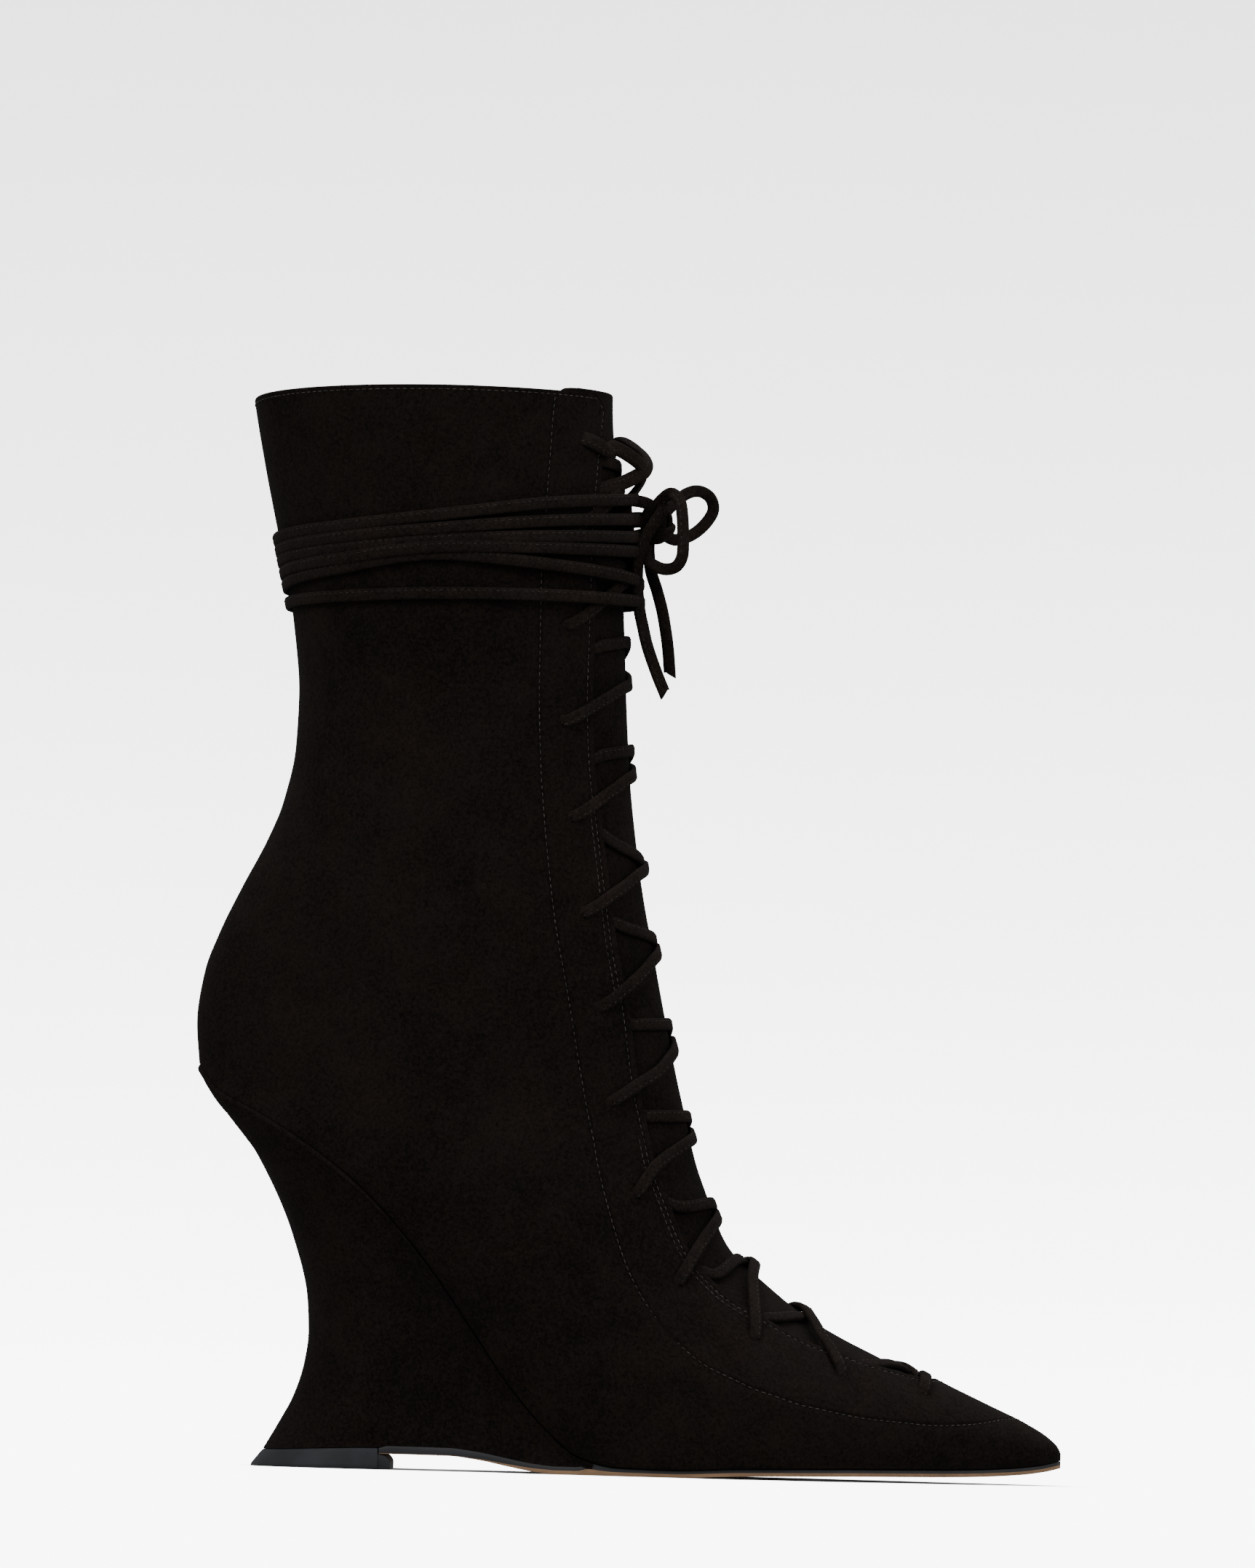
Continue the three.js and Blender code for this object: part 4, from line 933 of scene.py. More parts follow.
def suede_face(rows, at, angles, side, shares):
    """The upper's face: the skin with its creases, turned in at the feather line.

    Over the last 0.015 of a section's way it goes in by the cube of a soft step.
    """
    low_edge = bell((shares - 0.985) / 0.015) * (rows[:, None] > SEAT_ROW)
    return lifted(at, side * angles, relief(at, side * shares) - SEAM_CURL * low_edge**3)


def upper_sides(outer_depth, inner_depth, rows, shares):
    """Both sides of a layer of the upper as (side, outer, inner, values)."""
    ends = section(rows)[-1]
    for side in (-1, 1):
        at, angles, ways, from_ridge, whole = side_grid(rows, shares, side)
        if outer_depth > 0:
            outer = lining_skin(at, side * angles, outer_depth)
        else:
            outer = suede_face(rows, at, angles, side, ways / whole)
        inner = lining_skin(at, side * angles, inner_depth)
        for skins in (outer, inner):
            for line, middle in ((0, angles[:, 0] == 0), (-1, ends >= math.pi)):
                skins[middle, line, 1] = lean(skins[middle, line, 0])
        inner[:, -1, 2] = np.maximum(inner[:, -1, 2], outer[:, -1, 2])
        collar = (rows[:, None] - COLLAR_ROW) * COLLAR_STEP
        values = {
            "far_seam": off_far_seam(rows, from_ridge),
            "near_seam": np.where(rows[:, None] < THROAT_END, ways, NO_SEAM) - NEAR_SEAM,
            "collar": np.broadcast_to(collar, at.shape),
        }
        yield side, outer, inner, values


def upper_layer(name, outer_depth, inner_depth, rows, shares, bulge):
    """A closed layer of the upper between two depths, open at collar, throat and sole.

    Its edges at the collar and the facings are rounded by bulge, which grows
    over the first three lines of points and goes to 0 at the throat's end.
    """
    mould = Mould()
    throat = int(np.searchsorted(rows, THROAT_END - 1e-9))
    seat = int(np.searchsorted(rows, SEAT_ROW - 1e-9))
    part = slice(0, throat + 1)
    collar_bulge = bulge * np.minimum(np.arange(len(shares)) / 3, 1)
    facing_bulge = bulge * np.minimum(np.arange(throat + 1) / 3, 1) * bell(opening(rows[part]) / 4)
    facing_bulge[-1] = 0
    for side, outer, inner, values in upper_sides(outer_depth, inner_depth, rows, shares):
        turned = side > 0
        top, low = mould.add(outer, **values), mould.add(inner)
        mould.cover(top, turned)
        mould.cover(low, not turned)
        out = unit(outer[0] - outer[2])
        mould.rim(outer[0], inner[0], (top[0], low[0]), out, collar_bulge, not turned)
        out = unit(outer[part, 0] - outer[part, 2])
        numbers = (top[part, 0], low[part, 0])
        mould.rim(outer[part, 0], inner[part, 0], numbers, out, facing_bulge, turned)
        mould.cover(np.stack([top[seat:, -1], low[seat:, -1]]), not turned)
    return mould.mesh(name)


def make_upper():
    """The suede of the upper, over its creases, with rolled collar and facings."""
    thick = bpy.context.scene.boot_sizes.suede_thick / MM
    piece = upper_layer("suede_upper", 0.0, thick, UPPER_ROWS, UPPER_SHARES, thick * 0.45)
    return settle(piece, finish_of("suede"), ["upper"])


def make_lining():
    """The lining: the rest of the wall, from a seam just below the collar."""
    thick = bpy.context.scene.boot_sizes.suede_thick / MM
    rows = np.concatenate([
        [COLLAR_ROW + 0.09, COLLAR_ROW + 0.2], np.arange(1.4, SEAT_ROW - 0.01, 0.3),
        crowded(8, SEAT_ROW, SEAT_ROW + 1), np.arange(SEAT_ROW + 1, THROAT_TURN, 0.3),
        THROAT_END - (THROAT_END - THROAT_TURN) * np.linspace(1, 0, 10)[:-1] ** 2,
        np.linspace(THROAT_END, TIP_ROW, 24),
    ])
    shares = (np.arange(31) / 30) ** 1.3
    piece = upper_layer("shaft_lining", thick + 0.05, WALL, rows, shares, 0.15)
    return settle(piece, finish_of("lining"), ["upper"])


TONGUE_CORNER = 1.8  # radius of its top corners
TONGUE_TIP = 10.0  # half width of its lower end
TONGUE_DIP = 1.2  # how much deeper it lies past the throat


def make_tongue():
    """The tongue: the skin pulled in under the facings, with round top corners."""
    row_height = float(back_z(0) - back_z(COLLAR_ROW))
    top = COLLAR_ROW - TONGUE_RISE / row_height
    rows = np.concatenate([
        top + np.array([0, 0.01, 0.03, 0.07, 0.13, 0.2, 0.3]),
        np.arange(1.2, TONGUE_END, 0.12), [TONGUE_END],
    ])
    tucked = THROAT_HALF * np.maximum(opening_at(rows), 1) + TONGUE_TUCK
    past = bell((rows - THROAT_TURN) / (TONGUE_END - THROAT_TURN))
    above = np.clip(1 - (rows - top) * row_height / TONGUE_CORNER, 0, 1)
    cut = TONGUE_CORNER * (1 - np.sqrt(1 - above**2))
    reach = angle_at(rows, blend(tucked, TONGUE_TIP, past) - cut)
    angles = reach[:, None] * np.linspace(-1, 1, 61)[None, :]
    depth = WALL + FIT + TONGUE_DIP * past[:, None] + np.zeros_like(angles)
    row_grid = np.broadcast_to(rows[:, None], angles.shape)
    outer = lifted(row_grid, angles, -depth)
    inner = lifted(row_grid, angles, -depth - TONGUE_THICK)
    mould = Mould()
    top_numbers, low_numbers = mould.add(outer), mould.add(inner)
    mould.cover(top_numbers)
    mould.cover(low_numbers, True)
    bulge = TONGUE_THICK * 0.4
    sides = np.minimum(np.arange(len(rows)) / 3, 1) * bulge
    sides[-1] = 0
    count = np.arange(61)
    head = np.minimum(np.minimum(count, count[::-1]) / 3, 1) * bulge
    edges = [
        (np.s_[0], unit(outer[0] - outer[3]), head, True),
        (np.s_[-1], unit(outer[-1] - outer[-3]), 0 * head, False),
        (np.s_[:, 0], unit(outer[:, 0] - outer[:, 2]), sides, False),
        (np.s_[:, -1], unit(outer[:, -1] - outer[:, -3]), sides, True),
    ]
    for line, out, bulges, turned in edges:
        numbers = (top_numbers[line], low_numbers[line])
        mould.rim(outer[line], inner[line], numbers, out, bulges, turned)
    return settle(mould.mesh("suede_tongue"), finish_of("wedge"), ["tongue"])


def crosswise(xs, half, low, high, across=24, edge=0.5, bare_edge=None):
    """A plate along the shoe, closed, as a mould.

    Its sections have a given half width between two heights, and their corners
    are quarter rounds of the edge's size, less on a thin or narrow section. The
    share of the way up, less what bare_edge gives by place, is kept as "edge".
    """
    t = np.linspace(0, 1, 5)[1:-1] * math.pi / 2
    grow = np.minimum(edge, half * 0.5)[:, None]
    inner_share = 1 - grow / np.maximum(half, 1e-6)[:, None]
    y_top = half[:, None] * np.linspace(-1, 1, across)[None, :] * inner_share
    thick = (high - low)[:, None]
    round_z = np.minimum(edge, thick / 2)
    right_y = half[:, None] - grow + grow * np.sin(t)[None, :]
    right_z = high[:, None] - round_z + round_z * np.cos(t)[None, :]
    low_z = low[:, None] + round_z - round_z * np.cos(t)[None, ::-1]
    y = np.concatenate([
        y_top, right_y, right_y[:, ::-1], y_top[:, ::-1], -right_y, -right_y[:, ::-1],
    ], 1)
    z = np.concatenate([
        np.repeat(high[:, None], across, 1), right_z, low_z,
        np.repeat(low[:, None], across, 1), low_z[:, ::-1], right_z[:, ::-1],
    ], 1)
    x = np.repeat(xs[:, None], y.shape[1], 1)
    grid = np.stack([x, lean(x) + y, z], -1)
    share = (z - low[:, None]) / thick
    mould = Mould()
    numbers = mould.add(grid, edge=share - np.interp(x, *bare_edge) if bare_edge else share)
    ring = np.concatenate([numbers, numbers[:, :1]], 1)
    mould.cover(ring)
    for line, turned in ((numbers[0], False), (numbers[-1], True)):
        count = len(line) // 2
        mould.cover(np.stack([line[:count], line[count:][::-1]]), turned)
    return mould


def lengthwise(start, end, steps, back, front):
    """Places from start to end, crowded by a cosine or sine at the ends asked for."""
    t = np.linspace(0, 1, steps + 1)
    if back and front:
        eased = (1 - np.cos(t * math.pi)) / 2
    else:
        eased = 1 - np.cos(t * math.pi / 2) if back else np.sin(t * math.pi / 2)
    return blend(start, end, blend(t, eased, 0.9))


CUP_ROOM = 2.6  # how far the heel's cup keeps the insole from the wall
TOE_ROOM = 3.0  # and how far the insole stops before the toe
MEET = 0.04  # gap where two dressed pieces meet at the feather line
SOLE_LIP = 0.5  # how far the sole's edge covers the wedge's base
WAIST_EDGE = ([75, 95], [0.1, 0.5])  # places, and share of the sole's edge that stays bare


def make_insole():
    """The insole: a thin plate on the feather line, clear of the wall all round."""
    inset = WALL + 2 * FIT
    back = SHAFT[SEAT_ROW, 0] * LENGTH + inset + CUP_ROOM
    front = PLAN[-3, 0] * LENGTH - inset - TOE_ROOM
    xs = lengthwise(back, front, 150, True, False)
    cup = CUP_ROOM * (1 - bell(xs / (HEEL_ROUND * LENGTH)))
    half = np.maximum(plan(xs - cup) - inset - cup, 0.05)
    mould = crosswise(xs, half, feather(xs), feather(xs) + INSOLE_THICK, edge=0.4)
    return settle(mould.mesh("leather_insole"), finish_of("lining"), ["insole"])


def make_outsole():
    """The sole: a thin plate between the ground line and the bed, edges eased.

    Under the wedge its edge comes a little over the wedge's base, by a soft step.
    """
    xs = lengthwise(SOLE_BACK + FIT, LENGTH - 0.02, 260, False, True)
    under_wedge = 1 - bell((xs - WEDGE_FRONT + 4) / 4)
    lip = SOLE_LIP * under_wedge * bell((xs - xs[0]) / 2)
    high = blend(feather(xs) - MEET, np.minimum(sole_top(xs), bed(xs)) + lip, under_wedge)
    half = np.maximum(tread(xs) + 0.3 * lip, 0.05)
    mould = crosswise(xs, half, ground(xs), high, edge=0.3, bare_edge=WAIST_EDGE)
    return settle(mould.mesh("leather_sole"), finish_of("sole"), ["outsole"])


WEDGE_STEPS = 110  # points on each side of a ring
RIM_DROPS = [0, 0.004, 0.01, 0.018, 0.028]  # rings close under the seat's rim
RIM_LIP = 0.8  # how far the rim's lip stands out
RIM_LIP_PLACE, RIM_LIP_SPREAD = 0.015, 0.01
RIM_GROOVE_SPREAD = 0.008


def make_wedge():
    """The wedge: outlines from seat to base, pulled in by the hollow.

    A point at a share of the way to the front goes from the seat's outline to
    the base's in a straight line, then back and sides are hollowed by tables,
    and a small bell-shaped lip stands out under the seat's rim.
    """
    share = np.abs(np.arange(-WEDGE_STEPS, WEDGE_STEPS + 1)) / WEDGE_STEPS
    side = np.sign(np.arange(-WEDGE_STEPS, WEDGE_STEPS + 1))[None, :]
    share = blend(share, (1 - np.cos(share * math.pi)) / 2, 0.7)[None, :]
    drop = np.concatenate([RIM_DROPS, np.linspace(0.04, 1, 70)])[:, None]
    x0 = blend(SHAFT[SEAT_ROW, 0] * LENGTH, WEDGE_FRONT, share)
    x1 = blend(TREAD_START, WEDGE_FRONT, share)
    high_z = feather(x0) - MEET
    low_z = np.minimum(sole_top(x1) + MEET, high_z - 0.25)
    y = blend(plan(x0), tread(x1), drop)
    z = blend(high_z, low_z, drop)
    around = np.minimum(share / (HEEL_ROUND * LENGTH / WEDGE_FRONT), 1)
    behind = np.sqrt(1 - around**2) * (1 - around) ** 0.3
    room = np.minimum((bed(x0) - sole_top(x1)) / (HEEL_HEIGHT / 2), 1)
    depth = hollow_at(drop) * room
    groove = SEAM_CURL * np.clip(1 - drop / RIM_GROOVE_SPREAD, 0, 1) ** 2
    lip = RIM_LIP * np.exp(-(((drop - RIM_LIP_PLACE) / RIM_LIP_SPREAD) ** 2))
    lip = lip * np.clip(room, 0, 1) - groove
    wide = np.maximum(y - SIDE_TUCK * depth * around + lip * around, 0)
    x = blend(x0, x1, drop) + HEEL_TUCK * depth * behind - lip * (1 - around) ** 0.5
    rings = np.stack([x, lean(x) + side * wide, z + 0 * x], -1)
    mould = Mould()
    numbers = mould.add(rings)
    mould.cover(numbers)
    mould.cover(np.stack([numbers[:, -1], numbers[:, 0]], 1))
    t = np.linspace(0, 1, 13)[None, :, None]
    for line, turned in ((0, False), (-1, True)):
        left, right = rings[line, : WEDGE_STEPS + 1], rings[line, WEDGE_STEPS:][::-1]
        cap = blend(left[:, None], right[:, None], t)
        mould.cover(mould.add(cap), turned)
    return settle(mould.mesh("suede_wedge"), finish_of("wedge"), ["wedge_heel"])


def make_top_piece():
    """The rubber under the wedge: flared to the floor, with a lip under the sole."""
    t = lengthwise(0.0, 1.0, 60, True, False)
    levels = np.array([0, 0.05, 0.13, 0.24, 0.5, 0.76, 0.9, 0.97, 1.0])[None, :]
    ease = np.array([0.5, 0.22, 0.06, 0, 0, 0, 0.05, 0.18, 0.4])[None, :]
    high_x = blend(TREAD_START, SOLE_BACK, t)[:, None]
    low_x = blend(TREAD_START - TOP_PIECE_FLARE, SOLE_BACK, t)[:, None]
    high_half = tread(high_x)
    low_half = high_half + np.minimum(high_half / 8, 1)
    x = blend(low_x, high_x, levels)
    half = np.maximum(blend(low_half, high_half, levels) - np.minimum(ease, high_half / 2), 0)
    x = x + ease * (1 - t[:, None]) ** 2
    z = blend(0 * high_x, sole_top(high_x), levels)
    mould = Mould()
    sides = [np.stack([x, lean(x) + side * half, z], -1) for side in (-1, 1)]
    for grid, turned in zip(sides, (False, True)):
        mould.cover(mould.add(grid), turned)
    across = np.linspace(0, 1, 15)[None, :, None]
    for level, turned in ((0, True), (-1, False)):
        cap = blend(sides[0][:, None, level], sides[1][:, None, level], across)
        mould.cover(mould.add(cap), turned)
    mould.cover(mould.add(blend(sides[0][-1][:, None], sides[1][-1][:, None], across)))
    body = mould.mesh("rubber_top_piece", 50)
    lip_front = TREAD_START + TOP_PIECE_LENGTH - TOP_PIECE_FLARE
    lip_xs = lengthwise(SOLE_BACK + 0.02, lip_front, 14, False, True)
    past = (lip_xs - lip_xs[0]) / (lip_xs[-1] - lip_xs[0])
    lip_half = tread(SOLE_BACK) - 0.6 * past
    lip_high = (ground(SOLE_BACK) - MEET) * np.sqrt(1 - 0.75 * past**3)
    lip = crosswise(lip_xs, lip_half, 0 * lip_xs, lip_high, edge=0.6).mesh("rubber_top_lip", 50)
    settle(body, finish_of("rubber"), ["top_piece"])
    return settle(lip, finish_of("rubber"), ["top_piece"])


# Laces


def smooth_route(stops, per_step):
    """A curve through the stops: Catmull-Rom pieces, per_step points on each."""
    stops = np.asarray(stops, float)
    held = np.concatenate([2 * stops[:1] - stops[1:2], stops, 2 * stops[-1:] - stops[-2:-1]])
    a, b, c, d = held[:-3], held[1:-2], held[2:-1], held[3:]
    t = (np.arange(per_step) / per_step)[None, :, None]
    a, b, c, d = (p[:, None] for p in (a, b, c, d))
    curve = 0.5 * (
        2 * b + (c - a) * t + (2 * a - 5 * b + 4 * c - d) * t**2 + (3 * b - a - 3 * c + d) * t**3
    )
    return np.concatenate([curve.reshape(-1, stops.shape[1]), stops[-1:]])


def evenly(points, step, *others):
    """Points resampled at an even step along their run, others read alike."""
    run = np.concatenate([[0], np.cumsum(np.linalg.norm(np.diff(points, axis=0), axis=1))])
    ways = np.linspace(0, run[-1], max(int(run[-1] / step), 2) + 1)
    read = [
        np.stack([np.interp(ways, run, line[:, k]) for k in range(line.shape[1])], 1)
        for line in (points, *others)
    ]
    return read if others else read[0]


def frames(path, ups):
    """Along, across and up vectors of a route, each square to the others.

    Along is the route's gradient, and across is its cross product with the ups.
    """
    along = unit(np.gradient(path, axis=0))
    across = unit(np.cross(along, ups))
    return along, across, np.cross(across, along)


STRAP_SIDES = 16
STRAP_POWER = 0.62


def strap(mould, path, ups, width, thick, closed=False, slant=0.0):
    """A flat lace with round edges along a route.

    Its section is a superellipse: width with the cosine, thickness with the
    sine, each to the power STRAP_POWER. Its ends are closed flat, and slant
    tilts the far one by that share of the width.
    """
    _, across, up = frames(path, ups)
    turn = (np.arange(STRAP_SIDES) + 0.5) / STRAP_SIDES * 2 * math.pi
    c = np.sign(np.cos(turn)) * np.abs(np.cos(turn)) ** STRAP_POWER * width / 2
    s = np.sign(np.sin(turn)) * np.abs(np.sin(turn)) ** STRAP_POWER * thick / 2
    grid = path[:, None] + across[:, None] * c[None, :, None] + up[:, None] * s[None, :, None]
    grid[-1] += unit(path[-1] - path[-2]) * (c * slant)[:, None]
    numbers = mould.add(grid)
    ring = np.concatenate([numbers, numbers[:, :1]], 1)
    if closed:
        ring = np.concatenate([ring, ring[:1]])
    mould.cover(ring)
    if not closed:
        for line, turned in ((numbers[0], False), (numbers[-1], True)):
            half = STRAP_SIDES // 2
            mould.cover(np.stack([line[:half], line[half:][::-1]]), turned)


def hole_rows():
    """Sections of the holes: even steps along the line a set way behind the facing."""
    rows = np.linspace(COLLAR_ROW, THROAT_END, 401)
    points = skin(rows, -behind_facing(rows, HOLE_INSET))
    run = np.concatenate([[0], np.cumsum(np.linalg.norm(np.diff(points, axis=0), axis=1))])
    goals = TOP_HOLE_DROP + np.arange(HOLE_COUNT) * HOLE_PITCH
    return np.interp(goals, run, rows)[::-1]


# Where the strands cross, toe to collar: sections at which the one from the outer
# hole and the one from the inner hole pass the ridge, and at which the latter
# slips under the outer facing.
CROSSINGS = np.array([
    (24.7, 24.32, 23.32), (21.98, 22.16, 20.89), (20.38, 20.36, 18.17), (17.35, 16.69, 16.07),
    (13.84, 13.24, 13.35), (11.1, 10.64, 10.85), (9.07, 8.86, 8.7), (7.5, 7.4, 7.04),
    (5.85, 5.53, 5.74), (4.62, 4.11, 4.26), (3.3, 3.2, 3.1), (2.1, 1.85, 1.8),
])
FAR_SLIP = 0.85  # of the way to the next hole: where the outer strand slips under
OPENING_SEEN = 0.72  # of half the opening, taken as way from the facing to the ridge

# Heights of a strap's middle over the skin, in mm
IN_HOLE = -0.9
OUT_OF_HOLE = 0.45
ON_SKIN = 0.95
AT_EDGE = 0.85
OVER, UNDER = 0.35, -1.25
ON_TONGUE = -1.2
UNDER_EDGE = -1.25
BEHIND_FACING = -1.0
OVER_LACING = 2.9
THROAT_SINK = 1.4  # how much deeper a strap lies at the throat's end

WIDEST_MEETING = 0.6  # of the half opening, where two strands can meet


def edge_angle(row):
    """Angle of the facing's edge at a section, by the half opening there."""
    return float(angle_at(row, opening(row)))


def across_tongue(near, ridge, far, other_near, other_ridge, other_far, height):
    """One strand's stops over the tongue, from facing to facing.

    A stop is (share of the half opening, section, height), the share being 1 at
    the near facing, 0 on the ridge and -1 at the far one. Sections leave the
    ridge's by the square of the share, so that the strap looks straight from
    the side, and where they meet the other strand's is a stop more.
    """
    gap = other_ridge - ridge
    if gap < 0:
        meet = -math.sqrt(gap / ((far - ridge) - (other_near - other_ridge)))
    else:
        meet = math.sqrt(gap / ((near - ridge) - (other_far - other_ridge)))
    meet = min(max(meet, -WIDEST_MEETING), WIDEST_MEETING)

    def at(share):
        return blend(ridge, near if share > 0 else far, share * share)

    stops = [
        (1.0, near, AT_EDGE), (0.8, at(0.8), blend(AT_EDGE, height, 0.25)),
        (meet, at(meet), height), (-0.75, at(-0.75), ON_TONGUE), (-0.98, far, UNDER_EDGE),
    ]
    if abs(meet) > 0.15:
        stops.append((0.0, ridge, blend(height, ON_TONGUE, abs(meet) / WIDEST_MEETING)))
    if meet < 0.3:
        stops.append((0.5, at(0.5), blend(AT_EDGE, height, 0.65)))
    return sorted(stops, reverse=True)


def lacing_routes():
    """Both strands of the lacing as (section, signed angle, height) at a few stops.

    From each hole a strand comes up, runs over its own facing, crosses the
    tongue over or under the other strand, slips under the other facing's edge
    and goes on inside the wall to the next hole on that side.
    """
    rows = hole_rows()
    angles = behind_facing(rows, HOLE_INSET)
    for first in (-1, 1):
        stops = []
        for k, (diagonal, level, slip) in enumerate(CROSSINGS):
            side = first * (-1) ** k
            row, after = rows[k], rows[k + 1]
            over = HOLE_INSET / (HOLE_INSET + OPENING_SEEN * float(opening(row)))
            tight = [blend(row, diagonal, over), diagonal, blend(row, after, FAR_SLIP)]
            slack = [blend(row, level, over), level, slip]
            if side < 0:
                crossing = across_tongue(*tight, *slack, OVER)
            else:
                crossing = across_tongue(*slack, *tight, UNDER)
            near, far = crossing[0][1], crossing[-1][1]
            stops.append((row, side * angles[k], IN_HOLE))
            for share, height in ((0.15, OUT_OF_HOLE), (0.45, ON_SKIN)):
                angle = blend(angles[k], edge_angle(near), share)
                stops.append((blend(row, near, share), side * angle, height))
            for share, at, height in crossing:
                inside = abs(share) < 0.9
                sunk = bell((at - THROAT_TURN) / (TONGUE_END - THROAT_TURN)) if inside else 0
                turn = float(angle_at(at, abs(share) * opening(at)))
                stops.append((at, side * math.copysign(turn, share), height - THROAT_SINK * sunk))
            angle = blend(edge_angle(far), angles[k + 1], 0.5)
            stops.append((blend(far, after, 0.5), -side * angle, BEHIND_FACING))
        side = first * (-1) ** (HOLE_COUNT - 1)
        stops.append((rows[-1], side * angles[-1], IN_HOLE))
        yield first, stops


# From over the facing at the top holes the lace runs slack round the front and
# under the winding: from the collar's front point, in mm.
SLACK_ENDS = {
    -1: [(-1.5, -13.0, -10.8), (3.4, -8.0, -13.0), (6.0, -3.5, -15.1), (6.2, 1.0, -17.6),
         (4.6, 5.0, -20.2), (2.0, 9.0, -23.0)],
    1: [(-0.8, 11.0, -6.6), (4.6, 6.0, -9.5), (7.3, 1.5, -12.8), (6.8, -2.5, -15.8),
        (4.2, -6.0, -17.8), (0.6, -10.5, -20.0), (-3.6, -15.5, -21.8), (-8.0, -20.5, -23.6)],
}
SLACK_SPREAD = 1.2  # how much wider they look, being slack
HIDDEN_DROPS = np.linspace(24.5, 48.5, 40)  # where they go on under the winding
DROP_ROWS = np.linspace(COLLAR_ROW, 7, 200)


def row_at_drop(drop):
    """Section whose back point lies that far below the collar, read from a table."""
    return np.interp(drop, HEEL_HEIGHT + SHAFT_HEIGHT - back_z(DROP_ROWS), DROP_ROWS)


def strand_paths():
    """Each strand as points and up vectors at an even step, the slack end after it."""
    for first, stops in lacing_routes():
        route = smooth_route(stops, 9)
        points = lifted(route[:, 0], route[:, 1], route[:, 2])
        ups = skin_normal(route[:, 0], route[:, 1])
        yield first, *evenly(points, 0.85, ups)


def slack_paths():
    """The two slack ends above the winding, and where they go on under it.

    An end's stops come after those from its hole to the facing's edge. Under
    the winding it goes straight down the skin, swaying by a cosine of the drop.
    """
    origin = np.array([float(front_x(COLLAR_ROW)), 0.0, HEEL_HEIGHT + SHAFT_HEIGHT])
    row = hole_rows()[-1]
    hole, edge = float(behind_facing(row, HOLE_INSET)[0]), edge_angle(row)
    ways = np.array([0.0, 0.15, 0.5, 0.95])
    heights = np.array([IN_HOLE, OUT_OF_HOLE, ON_SKIN, 1.0])
    for side, route in SLACK_ENDS.items():
        start = lifted(row + 0.15 * ways, side * blend(hole, edge, ways), heights)
        points = smooth_route(np.concatenate([start, np.array(route) + origin]), 14)
        out = unit((points - origin + (40, 0, 0)) * (1, 1, 0))
        ups = unit(out * 0.5 + (0.2, -0.8, 0.1))
        yield side, *evenly(points, 0.85, ups)
        turn = side * (0.08 + 0.05 * np.cos(HIDDEN_DROPS / 4))
        points = lifted(row_at_drop(HIDDEN_DROPS), turn, np.zeros_like(HIDDEN_DROPS))
        yield side, *evenly(points, 0.85, np.tile([0.0, 1.0, 0.0], (len(points), 1)))


# The winding's six turns: drops below the collar at the front, its bend, the
# side, the rear and the back, and how far the turn stands off there, in mm.
TURNS = np.array([
    (23.3, 26.8, 31.1, 34.6, 36.6, 0.0),
    (28.3, 31.3, 34.5, 37.4, 39.6, 0.2),
    (32.8, 35.2, 37.4, 40.2, 42.3, 0.0),
    (36.6, 38.2, 39.3, 42.9, 45.5, 0.7),
    (44.6, 42.6, 41.2, 45.4, 48.8, 0.0),
    (49.2, 50.1, 51.1, 52.4, 53.2, 0.2),
])
TURN_ANGLES = np.array([0.0, 0.9, 1.57, 2.3, math.pi])
LAST_HOME = 69  # points of the last turn's way home, of 90
TUCKED = 30  # the last of them, which lie on the skin under the other turns


def winding_route():
    """Points and up vectors of the winding.

    Each turn goes from the front over the outer side to the back by its row of
    drops, and home over the inner side to the next turn's front by a half
    cosine, and stands out where it crosses the lacing. The last turn's end is
    tucked under the one before it.
    """
    drops, angles, heights = [], [], []
    t = np.linspace(0, 1, 91)[:-1]
    for k, (*places, off) in enumerate(TURNS):
        out = t * math.pi
        drops.append(through(TURN_ANGLES, places)(out))
        angles.append(-out)
        heights.append(ON_SKIN + off * np.sin(out))
        last = k + 1 == len(TURNS)
        home = t[:LAST_HOME] if last else t
        front = TURNS[min(k + 1, len(TURNS) - 1), 0]
        drops.append(blend(places[-1], front, (1 - np.cos(home * math.pi)) / 2))
        angles.append(math.pi - home * math.pi)
        heights.append(np.full_like(home, ON_SKIN))
    drop, angle, height = (np.concatenate(v) for v in (drops, angles, heights))
    row = row_at_drop(drop)
    clear = bell((np.abs(angle) - 1.0) / 0.5)
    clear[-TUCKED:] = 1
    height = blend(OVER_LACING, height, clear)
    points, ups = lifted(row, angle, height), skin_normal(row, angle)
    return evenly(points, 0.9, ups)


